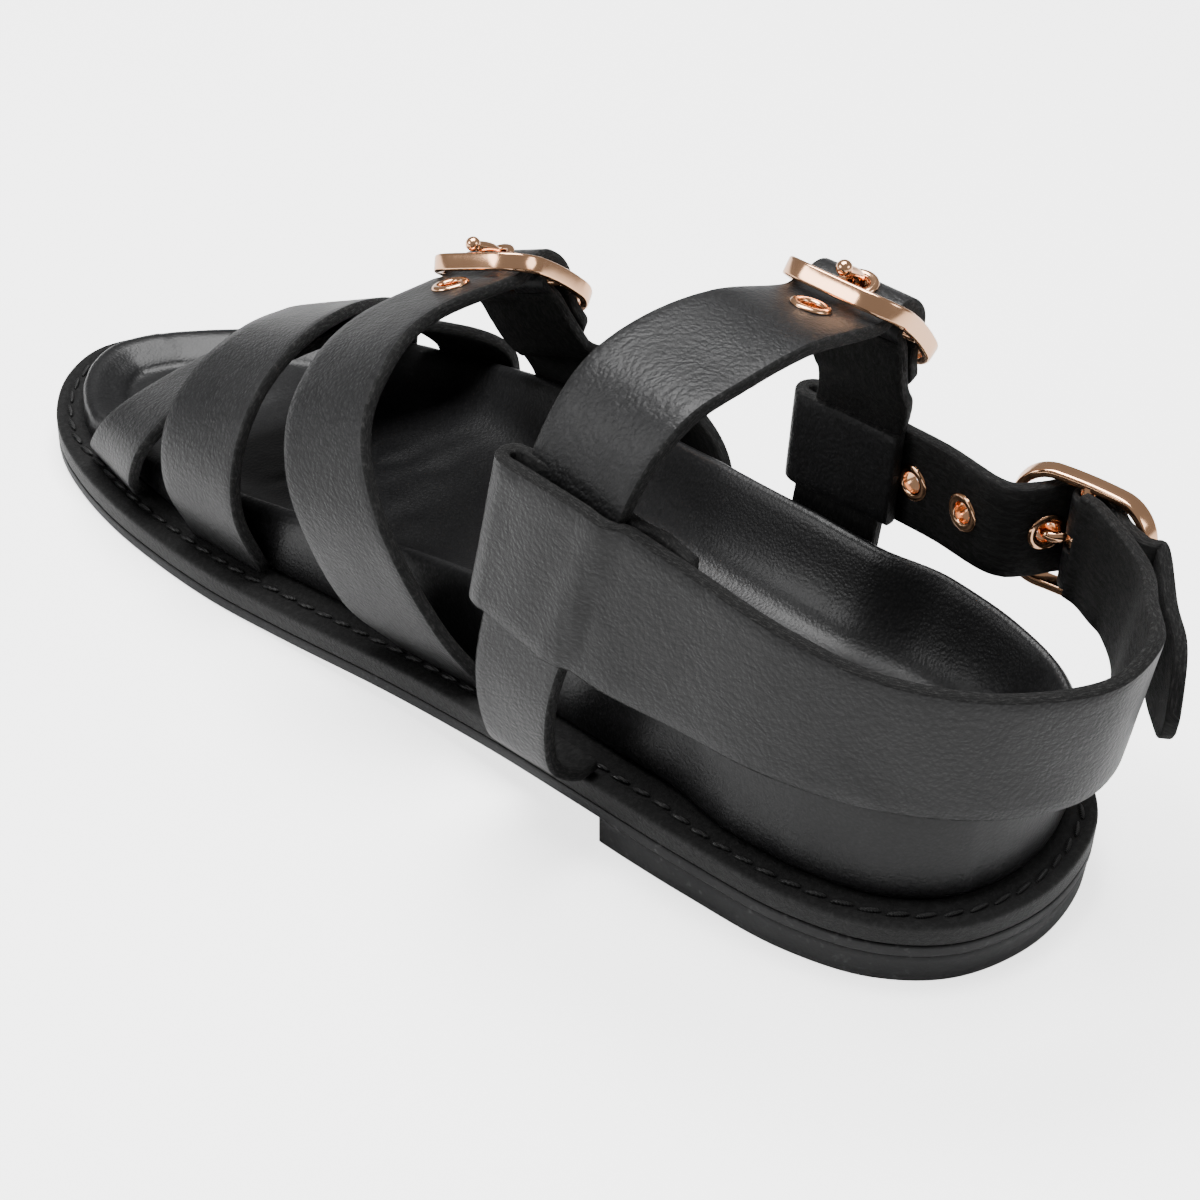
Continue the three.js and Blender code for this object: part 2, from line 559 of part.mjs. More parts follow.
const HOLE_BAND = [     // lower edge first; starts inside the ankle strap as well
  { fx: 33.2, fy: 68, fz: 39.5, bx: 33.2, by: 68, bz: 60.5 },
  { fx: 33.3, fy: 80, fz: 38.5, bx: 33.3, by: 80, bz: 60 },
  { fx: 33.3, fy: 88.5, fz: 37.9, bx: 33.3, by: 88, bz: 59.2 },
  { fx: 33.4, fy: 91.6, fz: 37.7, bx: 33.4, by: 91.1, bz: 59 },
  { fx: 34.5, fy: 94.2, fz: 37.6, bx: 34.5, by: 93.7, bz: 58.8 },
  { fx: 37.1, fy: 95.3, fz: 37.5, bx: 37.1, by: 94.8, bz: 58.7 },
  { fx: 39.7, fy: 94.2, fz: 37.5, bx: 39.7, by: 93.7, bz: 58.7 },
  { fx: 40.8, fy: 91.6, fz: 37.6, bx: 40.8, by: 91.1, bz: 58.8 },
  { fx: 40.6, fy: 88.5, fz: 37.7, bx: 40.5, by: 88, bz: 59 },
  { fx: 40.1, fy: 80, fz: 38, bx: 39.8, by: 80, bz: 59.5 },
  { fx: 39.4, fy: 70, fz: 38.8, bx: 39.2, by: 70, bz: 60.2 },
  { fx: 37.6, fy: 58, fz: 40.4, bx: 37.6, by: 58, bz: 61.4 },
];

// ---- Assembly ---------------------------------------------------------------------
const LOOKS = {
  rubber: { color: 0x1b1b1c, roughness: 0.62, metalness: 0 },
  welt: { color: 0x121213, roughness: 0.8, metalness: 0 },
  footbed: { color: 0x151516, roughness: 0.42, metalness: 0 },
  strap: { color: 0x161617, roughness: 0.5, metalness: 0 },
  gold: { color: 0xd9a077, roughness: 0.18, metalness: 1 },
};

const group = new THREE.Group();
const sandal = new THREE.Group();
sandal.position.y = -ORIGIN_STATION;
group.add(sandal);

function piece(name, geometry, look) {
  const mesh = new THREE.Mesh(geometry, new THREE.MeshStandardMaterial(LOOKS[look]));
  mesh.name = name;
  sandal.add(mesh);
}

piece('outsole', makeOutsole(), 'rubber');
piece('midsole', makeMidsole(), 'welt');
piece('footbed', makeFootbed(), 'footbed');
piece('straps_toe', makeToeStraps(), 'strap');

const instepRows = [...INSTEP_MEDIAL.map(row), ...throughBuckle(instepBuckle), ...tailOf(instepBuckle, 4)];
const ankleRows = [...ANKLE_MEDIAL.map(row), ...throughBuckle(ankleBuckle), ...tailOf(ankleBuckle, 4)];
const heelTail = [
  rowOnBuckle(heelBuckle, BUCKLE.length / 2 + 5, -1.6),
  { front: vec(31.5, 4.0, 36.8), back: vec(31.5, 4.0, 58.3) },
  { front: vec(26, -2.0, 35.6), back: vec(26, -2.0, 56.2) },
  { front: vec(19.5, -7.0, 38.5), back: vec(20, -6.5, 51.5) },
];
const holeRows = [...HOLE_BAND.map(row), ...throughBuckle(heelBuckle), ...heelTail];

const HOLES = {
  instep: [5.78, 7.72],
  ankle: [9.78, 11.72],
  heel: [10.45, 11.5, 13.3],
};
const along = (rows, holes) => holes.map((h) => h / (rows.length - 1));

piece('strap_instep_medial', geometryFrom(
  holeStrap(instepRows, 38, along(instepRows, HOLES.instep))), 'strap');
piece('strap_instep_lateral', geometryFrom(foldOn(instepBuckle,
  solidOf(ribbon([...underFold(instepBuckle), ...INSTEP_LATERAL.map(row)], 26)))), 'strap');

const ankleMedial = holeStrap(ankleRows, 44, along(ankleRows, HOLES.ankle));
const heelRows = [
  ...HEEL_BAND.map(row),
  ...[15, 9, 4, 0.5].map((u, i) => {
    const r = rowOnBuckle(heelBuckle, u, [-6.6, -4.4, -2.2, -1.4][i], 11.6);
    return { front: r.back, back: r.front };
  }),
];
const heelBand = foldOn(heelBuckle, solidOf(ribbon(heelRows, 58)));
piece('strap_ankle_heel', geometryFrom(ankleMedial.add(heelBand)), 'strap');

const ankleLateral = foldOn(ankleBuckle,
  solidOf(ribbon([...underFold(ankleBuckle), ...ANKLE_LATERAL.map(row)], 28)));
const holeBand = holeStrap(holeRows, 56, along(holeRows, HOLES.heel));
piece('strap_ankle_lateral', geometryFrom(ankleLateral.add(holeBand)), 'strap');

const hardware = [
  ['instep', instepBuckle, instepRows],
  ['ankle', ankleBuckle, ankleRows],
  ['heel', heelBuckle, holeRows],
];
for (const [name, frame, rows] of hardware) {
  piece(`buckle_${name}`, makeBuckle(frame), 'gold');
  piece(`pin_${name}`, makePin(frame, onRibbon(rows, along(rows, HOLES[name]).at(-1))), 'gold');
  along(rows, HOLES[name]).forEach((t, i) => {
    const { centre, out } = onRibbon(rows, t);
    piece(`eyelet_${name}_${i + 1}`, eyeletGeometry(centre, out), 'gold');
  });
}

export default group;
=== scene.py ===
import math

import bpy
import numpy as np
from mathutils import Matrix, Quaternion, Vector, noise


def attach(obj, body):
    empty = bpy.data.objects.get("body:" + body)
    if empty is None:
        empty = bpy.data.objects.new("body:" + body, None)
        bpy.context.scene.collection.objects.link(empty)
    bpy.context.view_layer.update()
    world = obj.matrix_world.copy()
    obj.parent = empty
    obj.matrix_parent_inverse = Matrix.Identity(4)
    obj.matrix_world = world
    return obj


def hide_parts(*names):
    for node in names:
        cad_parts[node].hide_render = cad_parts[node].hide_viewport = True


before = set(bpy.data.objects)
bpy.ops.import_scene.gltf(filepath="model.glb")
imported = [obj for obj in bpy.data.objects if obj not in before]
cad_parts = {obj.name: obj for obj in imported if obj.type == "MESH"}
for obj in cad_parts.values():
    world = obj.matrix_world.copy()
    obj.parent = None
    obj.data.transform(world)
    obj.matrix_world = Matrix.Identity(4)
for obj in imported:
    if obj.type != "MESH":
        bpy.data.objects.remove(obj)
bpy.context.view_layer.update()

# ---------------------------------------------------------------- camera and studio
# A white table in a bright studio: one large soft light overhead, a long soft light on
# the inner side of the shoe and a weaker one behind the heel. The camera looks down on
# the inner rear quarter.
AIM = Vector((-0.0138, 0.0628, 0.030))
AZIMUTH, ELEVATION, ROLL, AWAY = math.radians(-48.4), math.radians(38.2), math.radians(2.6), 0.490
toward = Vector((math.sin(AZIMUTH) * math.cos(ELEVATION),
                 -math.cos(AZIMUTH) * math.cos(ELEVATION), math.sin(ELEVATION)))
camera_data = bpy.data.cameras.new("camera")
camera_data.sensor_width = 36
camera_data.lens = 77.25
camera_data.clip_start = 0.01
camera = bpy.data.objects.new("camera", camera_data)
bpy.context.scene.collection.objects.link(camera)
level_turn = (-toward).to_track_quat("-Z", "Y")
camera.rotation_mode = "QUATERNION"
camera.rotation_quaternion = Quaternion(-toward, -ROLL) @ level_turn
camera.location = AIM + toward * AWAY
bpy.context.scene.camera = camera

world = bpy.data.worlds.new("studio")
bpy.context.scene.world = world
world.use_nodes = True
world.node_tree.nodes["Background"].inputs["Color"].default_value = (1, 1, 1, 1)
world.node_tree.nodes["Background"].inputs["Strength"].default_value = 0.30


def soft_light(name, place, at, size, power):
    data = bpy.data.lights.new(name, "AREA")
    data.shape = "RECTANGLE"
    data.size, data.size_y = size
    data.energy = power
    light = bpy.data.objects.new(name, data)
    light.location = place
    light.rotation_mode = "QUATERNION"
    light.rotation_quaternion = (Vector(at) - Vector(place)).to_track_quat("-Z", "Y")
    bpy.context.scene.collection.objects.link(light)


soft_light("overhead_light", (0.10, 0.30, 1.10), (0.0, 0.08, 0.03), (0.9, 0.7), 34.0)
soft_light("inner_side_light", (-0.75, 0.55, 0.50), (0.0, 0.08, 0.04), (0.5, 0.35), 4.5)
soft_light("heel_light", (0.30, -0.80, 0.55), (0.0, 0.0, 0.05), (0.5, 0.35), 2.5)

floor_mesh = bpy.data.meshes.new("floor")
floor_mesh.from_pydata([(-6, -6, 0), (6, -6, 0), (6, 6, 0), (-6, 6, 0)], [], [(0, 1, 2, 3)])
floor = bpy.data.objects.new("floor", floor_mesh)
bpy.context.scene.collection.objects.link(floor)
table_top = bpy.data.materials.new("white table")
table_top.use_nodes = True
table_shader = table_top.node_tree.nodes["Principled BSDF"]
table_shader.inputs["Base Color"].default_value = (0.93, 0.93, 0.93, 1)
table_shader.inputs["Roughness"].default_value = 0.55
# the table glows a little to the camera alone, so it shows white and the shoe stays dark
table_tree = table_top.node_tree
seen = table_tree.nodes.new("ShaderNodeLightPath")
lift = table_tree.nodes.new("ShaderNodeMix")
lift.data_type = "RGBA"
lift.inputs[6].default_value = (0, 0, 0, 1)
lift.inputs[7].default_value = (1, 1, 1, 1)
table_tree.links.new(seen.outputs["Is Camera Ray"], lift.inputs[0])
table_tree.links.new(lift.outputs[2], table_shader.inputs["Emission Color"])
table_shader.inputs["Emission Strength"].default_value = 2.2
floor_mesh.materials.append(table_top)

# ------------------------------------------------------------------ the rubber outsole
# Moulded black rubber, 3 mm thick, with a low heel block in the same moulding. It is
# flat on the ground under the heel and the ball, rises over the waist and springs at
# the toe. Its side is smooth; a fine ledge runs round it where the midsole starts.
MM = 0.001
HEEL_BACK = 36.0       # the heel back's distance behind the origin, mm
LENGTH, HEEL_LIFT, HEEL_BREAST = 258.5, 6.6, 74.0
BALL_START, BALL_END, TOE_SPRING = 182.0, 210.0, 3.5
PLATE, MIDSOLE, GAP = 3.0, 4.6, 0.3
# station from the heel back; the outline's inner and outer side; the footbed's rim on
# both sides and its floor, all in mm
LAST = [
    (0.0, 0.0, 0.0, 37.6, 37.6, 23.0),
    (4.8, -18.8, 20.2, 37.8, 37.8, 22.5),
    (15.9, -30.2, 30.7, 38.0, 38.2, 21.8),
    (32, -36.4, 36.4, 38.0, 38.6, 21.4),
    (53, -38.6, 38.2, 38.2, 39.4, 21.4),
    (80, -39.6, 38.6, 38.2, 39.2, 21.6),
    (106, -39.6, 40.0, 36.6, 37.6, 20.8),
    (133, -40.2, 43.8, 30.8, 33.4, 17.8),
    (160, -42.2, 48.3, 25.2, 27.4, 14.6),
    (181, -43.8, 50.6, 21.0, 21.0, 12.6),
    (196, -43.8, 50.6, 17.8, 16.8, 11.8),
    (212, -42.6, 46.4, 15.6, 15.0, 11.4),
    (228, -39.6, 35.0, 15.0, 14.6, 11.2),
    (240, -35.4, 23.4, 15.2, 14.8, 11.4),
    (249, -29.2, 12.4, 15.4, 15.2, 11.8),
    (255.5, -20.8, 1.6, 15.6, 15.5, 12.2),
    (LENGTH, -10.2, -10.2, 15.8, 15.8, 12.4),
]
stations = np.array([r[0] for r in LAST])
RIM_INNER, RIM_OUTER, FLOOR = 3, 4, 5


def last_value(column, station):
    return np.interp(station, stations, [r[column] for r in LAST])


def smooth(t):
    c = np.clip(t, 0, 1)
    return c * c * (3 - 2 * c)


def underside(station):
    waist = HEEL_LIFT * (1 - smooth((station - HEEL_BREAST) / (BALL_START - HEEL_BREAST)))
    toe = TOE_SPRING * (np.clip(station - BALL_END, 0, None) / (LENGTH - BALL_END)) ** 2
    return np.where(station < HEEL_BREAST, HEEL_LIFT, np.where(station < BALL_END, waist, toe))


def plate_top(station):
    return underside(station) + PLATE


def welt_top(station):
    return plate_top(station) + MIDSOLE


def closed_curve(points, count_per_half, apex):
    """Centripetal curve through closed points; each half gets the same number of steps."""
    n = len(points)
    ring = []
    for i in range(2 * count_per_half):
        if i <= count_per_half:
            s = i / count_per_half * apex
        else:
            s = apex + (i - count_per_half) / count_per_half * (n - apex)
        k = int(math.floor(s)) % n
        t = s - math.floor(s)
        p0, p1, p2, p3 = (points[(k + j) % n] for j in (-1, 0, 1, 2))
        d0, d1, d2 = (max(np.linalg.norm(b - a), 1e-6) ** 0.5
                      for a, b in ((p0, p1), (p1, p2), (p2, p3)))
        m1 = ((p1 - p0) / d0 - (p2 - p0) / (d0 + d1) + (p2 - p1) / d1) * d1
        m2 = ((p2 - p1) / d1 - (p3 - p1) / (d1 + d2) + (p3 - p2) / d2) * d1
        ring.append((2 * p1 - 2 * p2 + m1 + m2) * t ** 3
                    + (-3 * p1 + 3 * p2 - 2 * m1 - m2) * t ** 2 + m1 * t + p1)
    return np.array(ring)


outline_points = [np.array([r[2], r[0]], float) for r in LAST]
outline_points += [np.array([r[1], r[0]], float) for r in LAST[-2:0:-1]]
HALF_RING = 150
sole_ring = closed_curve(outline_points, HALF_RING, len(LAST) - 1)
sole_run = np.roll(sole_ring, -2, 0) - np.roll(sole_ring, 2, 0)
sole_run /= np.linalg.norm(sole_run, axis=1)[:, None]
sole_inward = np.stack([-sole_run[:, 1], sole_run[:, 0]], 1)


def outline(inset):
    return sole_ring + sole_inward * (inset if np.isscalar(inset) else inset[:, None])


def level(plan, height):
    z = height(plan[:, 1]) if callable(height) else np.full(len(plan), float(height))
    return np.column_stack([plan, z])


def make_piece(name, points, faces, smooth_shading=True):
    """A mesh object from points in mm, y counted from the heel back."""
    p = np.asarray(points, float) - np.array([0, HEEL_BACK, 0])
    mesh = bpy.data.meshes.new(name)
    mesh.from_pydata((p * MM).tolist(), [], faces)
    mesh.update()
    if smooth_shading:
        mesh.shade_smooth()
    piece = bpy.data.objects.new(name, mesh)
    bpy.context.scene.collection.objects.link(piece)
    return piece


def loft_faces(rings, count, closed_ends=True, columns=10):
    """Faces and the extra points of a loft of closed rings, with ends closed across."""
    points = np.concatenate(rings)
    faces = []
    for r in range(len(rings) - 1):
        for i in range(count):
            a, b = r * count + i, r * count + (i + 1) % count
            faces.append((a, b, b + count, a + count))
    extra = []
    if closed_ends:
        for base, flip in ((0, True), ((len(rings) - 1) * count, False)):
            previous = None
            for i in range(1, count // 2):
                left, right = base + i, base + count - i
                row = [left]
                for c in range(1, columns):
                    extra.append(points[left] + (points[right] - points[left]) * c / columns)
                    row.append(len(points) + len(extra) - 1)
                row.append(right)
                if previous is None:
                    for c in range(columns):
                        quad = (base, row[c], row[c + 1])
                        faces.append(quad[::-1] if flip else quad)
                else:
                    for c in range(columns):
                        quad = (previous[c], row[c], row[c + 1], previous[c + 1])
                        faces.append(quad[::-1] if flip else quad)
                previous = row
            tip = base + count // 2
            for c in range(columns):
                quad = (previous[c], tip, previous[c + 1])
                faces.append(quad[::-1] if flip else quad)
    if extra:
        points = np.concatenate([points, np.array(extra)])
    return points, faces


RING = 2 * HALF_RING
rings = [level(outline(1.1), lambda y: underside(y)),
         level(outline(0.45), lambda y: underside(y) + 0.05),
         level(outline(0.12), lambda y: underside(y) + 0.3),
         level(outline(0.0), lambda y: underside(y) + 0.75),
         level(outline(0.0), lambda y: plate_top(y) - 0.75),
         level(outline(0.06), lambda y: plate_top(y) - 0.5),
         level(outline(0.22), lambda y: plate_top(y) - GAP)]
points, faces = loft_faces(rings, RING)
outsole = make_piece("rubber_outsole", points, faces)

heel_rows = (sole_ring[:, 1] <= HEEL_BREAST)
arc = [i for i in range(RING) if heel_rows[i]]
split = next(k for k in range(1, len(arc)) if arc[k] != arc[k - 1] + 1)
arc = arc[split:] + arc[:split]


def heel_level(inset, z):
    plan = outline(inset)[arc]
    plan = plan.copy()
    plan[0, 1] = plan[-1, 1] = HEEL_BREAST
    return np.column_stack([plan, np.full(len(plan), z)])


rings = [heel_level(1.5, 0.0), heel_level(0.85, 0.08), heel_level(0.5, 0.6),
         heel_level(0.25, HEEL_LIFT - 1.2), heel_level(0.1, HEEL_LIFT + 0.9)]
count = len(arc)
points = np.concatenate(rings)
faces = []
for r in range(len(rings) - 1):
    for i in range(count - 1):
        a, b = r * count + i, r * count + i + 1
        faces.append((a, b, b + count, a + count))
    a, b = r * count + count - 1, r * count
    faces.append((a, b, b + count, a + count))
for base, flip in ((0, True), ((len(rings) - 1) * count, False)):
    for i in range(count // 2 - 1):
        a, b = base + i, base + i + 1
        c, d = base + count - 2 - i, base + count - 1 - i
        quad = (a, b, c, d)
        faces.append(quad[::-1] if flip else quad)
heel_block = make_piece("rubber_heel_block", points, faces)


def node_group(name, inputs, outputs):
    group = bpy.data.node_groups.new(name, "ShaderNodeTree")
    for label, kind, value in inputs:
        socket = group.interface.new_socket(label, in_out="INPUT", socket_type=kind)
        if value is not None:
            socket.default_value = value
    for label, kind in outputs:
        group.interface.new_socket(label, in_out="OUTPUT", socket_type=kind)
    return group, group.nodes.new("NodeGroupInput"), group.nodes.new("NodeGroupOutput")


def math_node(tree, operation, a, b=None, clamp=False):
    node = tree.nodes.new("ShaderNodeMath")
    node.operation = operation
    node.use_clamp = clamp
    for slot, value in ((0, a), (1, b)):
        if value is None:
            continue
        if isinstance(value, (int, float)):
            node.inputs[slot].default_value = value
        else:
            tree.links.new(value, node.inputs[slot])
    return node.outputs[0]


# scuffs and dust: a mask that is near 0 on a clean surface and near 1 in a few spots
dust_group, dust_in, dust_out = node_group(
    "scuffs_and_dust",
    [("Vector", "NodeSocketVector", None), ("Scale", "NodeSocketFloat", 60.0),
     ("Amount", "NodeSocketFloat", 0.5)],
    [("Mask", "NodeSocketFloat"), ("Cloud", "NodeSocketFloat")])
cloud = dust_group.nodes.new("ShaderNodeTexNoise")
cloud.inputs["Detail"].default_value = 4
dust_group.links.new(dust_in.outputs["Vector"], cloud.inputs["Vector"])
dust_group.links.new(dust_in.outputs["Scale"], cloud.inputs["Scale"])
speck = dust_group.nodes.new("ShaderNodeTexNoise")
speck.inputs["Detail"].default_value = 2
dust_group.links.new(dust_in.outputs["Vector"], speck.inputs["Vector"])
dust_group.links.new(math_node(dust_group, "MULTIPLY", dust_in.outputs["Scale"], 14.0),
                     speck.inputs["Scale"])
spots = math_node(dust_group, "MULTIPLY",
                  math_node(dust_group, "SUBTRACT", speck.outputs[0], 0.62, True), 6.0, True)
spots = math_node(dust_group, "MULTIPLY", spots, cloud.outputs[0])
dust_group.links.new(math_node(dust_group, "MULTIPLY", spots, dust_in.outputs["Amount"]),
                     dust_out.inputs["Mask"])
dust_group.links.new(cloud.outputs[0], dust_out.inputs["Cloud"])


def new_material(name, base, rough, metallic=0.0):
    material = bpy.data.materials.new(name)
    material.use_nodes = True
    shader = material.node_tree.nodes["Principled BSDF"]
    shader.inputs["Base Color"].default_value = (*base, 1)
    shader.inputs["Roughness"].default_value = rough
    shader.inputs["Metallic"].default_value = metallic
    if not metallic:
        shader.inputs["Specular IOR Level"].default_value = 0.24
    return material, material.node_tree, shader


def place_group(tree, group, values, vector=None):
    node = tree.nodes.new("ShaderNodeGroup")
    node.node_tree = group
    for label, value in values.items():
        node.inputs[label].default_value = value
    if vector is not None:
        tree.links.new(vector, node.inputs["Vector"])
    return node


def mix_colours(tree, mask, low, high):
    node = tree.nodes.new("ShaderNodeMix")
    node.data_type = "RGBA"
    tree.links.new(mask, node.inputs[0])
    node.inputs[6].default_value = (*low, 1)
    node.inputs[7].default_value = (*high, 1)
    return node.outputs[2]


def remap(tree, value, low, high, from_low=0.0, from_high=1.0):
    node = tree.nodes.new("ShaderNodeMapRange")
    tree.links.new(value, node.inputs["Value"])
    node.inputs["From Min"].default_value = from_low
    node.inputs["From Max"].default_value = from_high
    node.inputs["To Min"].default_value = low
    node.inputs["To Max"].default_value = high
    return node.outputs["Result"]


def bump(tree, shader, height, distance, strength=1.0):
    node = tree.nodes.new("ShaderNodeBump")
    node.inputs["Distance"].default_value = distance
    node.inputs["Strength"].default_value = strength
    tree.links.new(height, node.inputs["Height"])
    tree.links.new(node.outputs["Normal"], shader.inputs["Normal"])


rubber, tree, shader = new_material("moulded black rubber", (0.020, 0.020, 0.022), 0.5)
where = tree.nodes.new("ShaderNodeTexCoord").outputs["Object"]
dust = place_group(tree, dust_group, {"Scale": 45.0, "Amount": 0.8}, where)
tree.links.new(mix_colours(tree, dust.outputs["Mask"], (0.009, 0.009, 0.0095), (0.09, 0.09, 0.09)),
               shader.inputs["Base Color"])
tree.links.new(remap(tree, dust.outputs["Cloud"], 0.40, 0.58, 0.3, 0.7), shader.inputs["Roughness"])
skin = tree.nodes.new("ShaderNodeTexNoise")
skin.inputs["Scale"].default_value = 900
skin.inputs["Detail"].default_value = 3
tree.links.new(where, skin.inputs["Vector"])
bump(tree, shader, skin.outputs[0], 0.00006)
for piece in (outsole, heel_block):
    piece.data.materials.append(rubber)
    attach(piece, "root")
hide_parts("outsole")
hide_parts("outsole")

# ------------------------------------------------------------ the midsole and its welt
# A dark band of pressed leather board between outsole and footbed. Its upper face is
# the welt, 6 to 9 mm wide, rough from the knife, with a channel in which a thick waxed
# thread locks the straps' ends and the footbed down, one stitch every 5 mm.
FOOT_WALL = {"ends": 6.0, "waist": 8.8}
wall_inset = FOOT_WALL["ends"] + (FOOT_WALL["waist"] - FOOT_WALL["ends"]) * (
    smooth((sole_ring[:, 1] - 48) / 18) * (1 - smooth((sole_ring[:, 1] - 224) / 14)))
rings = [level(outline(0.5), lambda y: plate_top(y)),
         level(outline(0.12), lambda y: plate_top(y) + 0.12),
         level(outline(0.0), lambda y: plate_top(y) + 0.5),
         level(outline(0.0), lambda y: welt_top(y) - 1.0),
         level(outline(0.12), lambda y: welt_top(y) - 0.4),
         level(outline(0.5), lambda y: welt_top(y) - 0.06),
         level(outline(1.0), welt_top),
         level(outline(1.5), lambda y: welt_top(y) + 0.02)]
stitch_inset = wall_inset * 0.52
for sink, shift in ((0.05, -1.2), (-0.28, -0.7), (-0.42, 0.0), (-0.28, 0.7), (0.05, 1.2)):
    rings.append(level(outline(stitch_inset + shift), lambda y, s=sink: welt_top(y) + s))
rings.append(level(outline(wall_inset - 0.6), lambda y: welt_top(y) + 0.05))
rings.append(level(outline(wall_inset + 1.4), lambda y: welt_top(y) - 0.1))
points, faces = loft_faces(rings, RING)
welt_rows = len(rings) * RING
for k in range(6 * RING, welt_rows):
    x, y, z = points[k]
    points[k, 2] += 0.22 * (noise.noise(Vector((x, y, 0)) * 0.9) + 0.6 * noise.noise(Vector((x, y, 7)) * 2.3))
midsole = make_piece("welted_midsole", points, faces)

board, tree, shader = new_material("pressed midsole board", (0.013, 0.013, 0.014), 0.6)
where = tree.nodes.new("ShaderNodeTexCoord").outputs["Object"]
dust = place_group(tree, dust_group, {"Scale": 70.0, "Amount": 0.7}, where)
fibre = tree.nodes.new("ShaderNodeTexNoise")
fibre.inputs["Scale"].default_value = 1100
fibre.inputs["Detail"].default_value = 5
fibre.inputs["Roughness"].default_value = 0.7
tree.links.new(where, fibre.inputs["Vector"])
tree.links.new(mix_colours(tree, remap(tree, fibre.outputs[0], 0.0, 1.0, 0.45, 0.75),
                           (0.003, 0.003, 0.003), (0.013, 0.013, 0.013)), shader.inputs["Base Color"])
face_up = tree.nodes.new("ShaderNodeSeparateXYZ")
tree.links.new(tree.nodes.new("ShaderNodeNewGeometry").outputs["Normal"], face_up.inputs[0])
tree.links.new(remap(tree, face_up.outputs["Z"], 0.46, 0.85, 0.3, 0.9), shader.inputs["Roughness"])
bump(tree, shader, fibre.outputs[0], 0.00035)
midsole.data.materials.append(board)
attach(midsole, "root")
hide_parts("midsole")

# the stitch line as a polyline for the stitching tree
line = level(outline(stitch_inset), lambda y: welt_top(y) - 0.12)
line_mesh = bpy.data.meshes.new("welt_stitch_line")
line_mesh.from_pydata(((line - np.array([0, HEEL_BACK, 0])) * MM).tolist(),
                      [(i, (i + 1) % RING) for i in range(RING)], [])
stitching = bpy.data.objects.new("welt_stitching", line_mesh)
bpy.context.scene.collection.objects.link(stitching)
thread, tree, shader = new_material("waxed black thread", (0.022, 0.022, 0.023), 0.42)
where = tree.nodes.new("ShaderNodeTexCoord").outputs["Object"]
ply = tree.nodes.new("ShaderNodeTexWave")
ply.inputs["Scale"].default_value = 900
ply.inputs["Distortion"].default_value = 1.5
tree.links.new(where, ply.inputs["Vector"])
tree.links.new(mix_colours(tree, ply.outputs["Fac"], (0.005, 0.005, 0.005), (0.017, 0.017, 0.017)),
               shader.inputs["Base Color"])
bump(tree, shader, ply.outputs["Fac"], 0.0001)


def stitch_tree(name, material, lean):
    """Stitches along a line: a short bead of thread at every step, sunk at its ends."""
    tree = bpy.data.node_groups.new(name, "GeometryNodeTree")
    interface = tree.interface
    interface.new_socket("Geometry", in_out="INPUT", socket_type="NodeSocketGeometry")
    for label in ("Spacing", "Length", "Radius"):
        interface.new_socket(label, in_out="INPUT", socket_type="NodeSocketFloat")
    interface.new_socket("Geometry", in_out="OUTPUT", socket_type="NodeSocketGeometry")
    nodes, links = tree.nodes, tree.links
    source, result = nodes.new("NodeGroupInput"), nodes.new("NodeGroupOutput")
    to_curve = nodes.new("GeometryNodeMeshToCurve")
    links.new(source.outputs["Geometry"], to_curve.inputs["Mesh"])
    steps = nodes.new("GeometryNodeResampleCurve")
    steps.mode = "LENGTH"
    links.new(to_curve.outputs[0], steps.inputs["Curve"])
    links.new(source.outputs["Spacing"], steps.inputs["Length"])
    bead = nodes.new("GeometryNodeMeshUVSphere")
    bead.inputs["Segments"].default_value = 10
    bead.inputs["Rings"].default_value = 8
    bead.inputs["Radius"].default_value = 0.5
    tangent = nodes.new("GeometryNodeInputTangent")
    aim = nodes.new("FunctionNodeAlignRotationToVector")
    aim.axis = "X"
    links.new(tangent.outputs[0], aim.inputs["Vector"])
    turn = nodes.new("FunctionNodeRotateRotation")
    turn.rotation_space = "LOCAL"
    turn.inputs["Rotate By"].default_value = (0, 0, lean)
    links.new(aim.outputs[0], turn.inputs["Rotation"])
    size = nodes.new("ShaderNodeCombineXYZ")
    links.new(source.outputs["Length"], size.inputs["X"])
    links.new(source.outputs["Radius"], size.inputs["Y"])
    links.new(source.outputs["Radius"], size.inputs["Z"])
    spread = nodes.new("GeometryNodeInstanceOnPoints")
    links.new(steps.outputs["Curve"], spread.inputs["Points"])
    links.new(bead.outputs["Mesh"], spread.inputs["Instance"])
    links.new(turn.outputs[0], spread.inputs["Rotation"])
    links.new(size.outputs[0], spread.inputs["Scale"])
    real = nodes.new("GeometryNodeRealizeInstances")
    links.new(spread.outputs[0], real.inputs[0])
    rounded = nodes.new("GeometryNodeSetShadeSmooth")
    links.new(real.outputs[0], rounded.inputs[0])
    dress = nodes.new("GeometryNodeSetMaterial")
    dress.inputs["Material"].default_value = material
    links.new(rounded.outputs[0], dress.inputs["Geometry"])
    links.new(dress.outputs[0], result.inputs[0])
    return tree


def apply_tree(piece, tree, sizes):
    """Runs a tree on a piece at the given sizes and leaves the result as its plain mesh."""
    modifier = piece.modifiers.new("maker", "NODES")
    modifier.node_group = tree
    for socket in tree.interface.items_tree:
        if socket.in_out == "INPUT" and socket.name in sizes:
            modifier[socket.identifier] = sizes[socket.name]
    piece.update_tag()
    evaluated = piece.evaluated_get(bpy.context.evaluated_depsgraph_get())
    made = bpy.data.meshes.new_from_object(evaluated)
    piece.modifiers.remove(modifier)
    old = piece.data
    piece.data = made
    bpy.data.meshes.remove(old)


STITCH = {"Spacing": 0.0050, "Length": 0.0043, "Radius": 0.0010}
apply_tree(stitching, stitch_tree("welt stitches", thread, lean=0.16), STITCH)
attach(stitching, "root")
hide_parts("midsole")

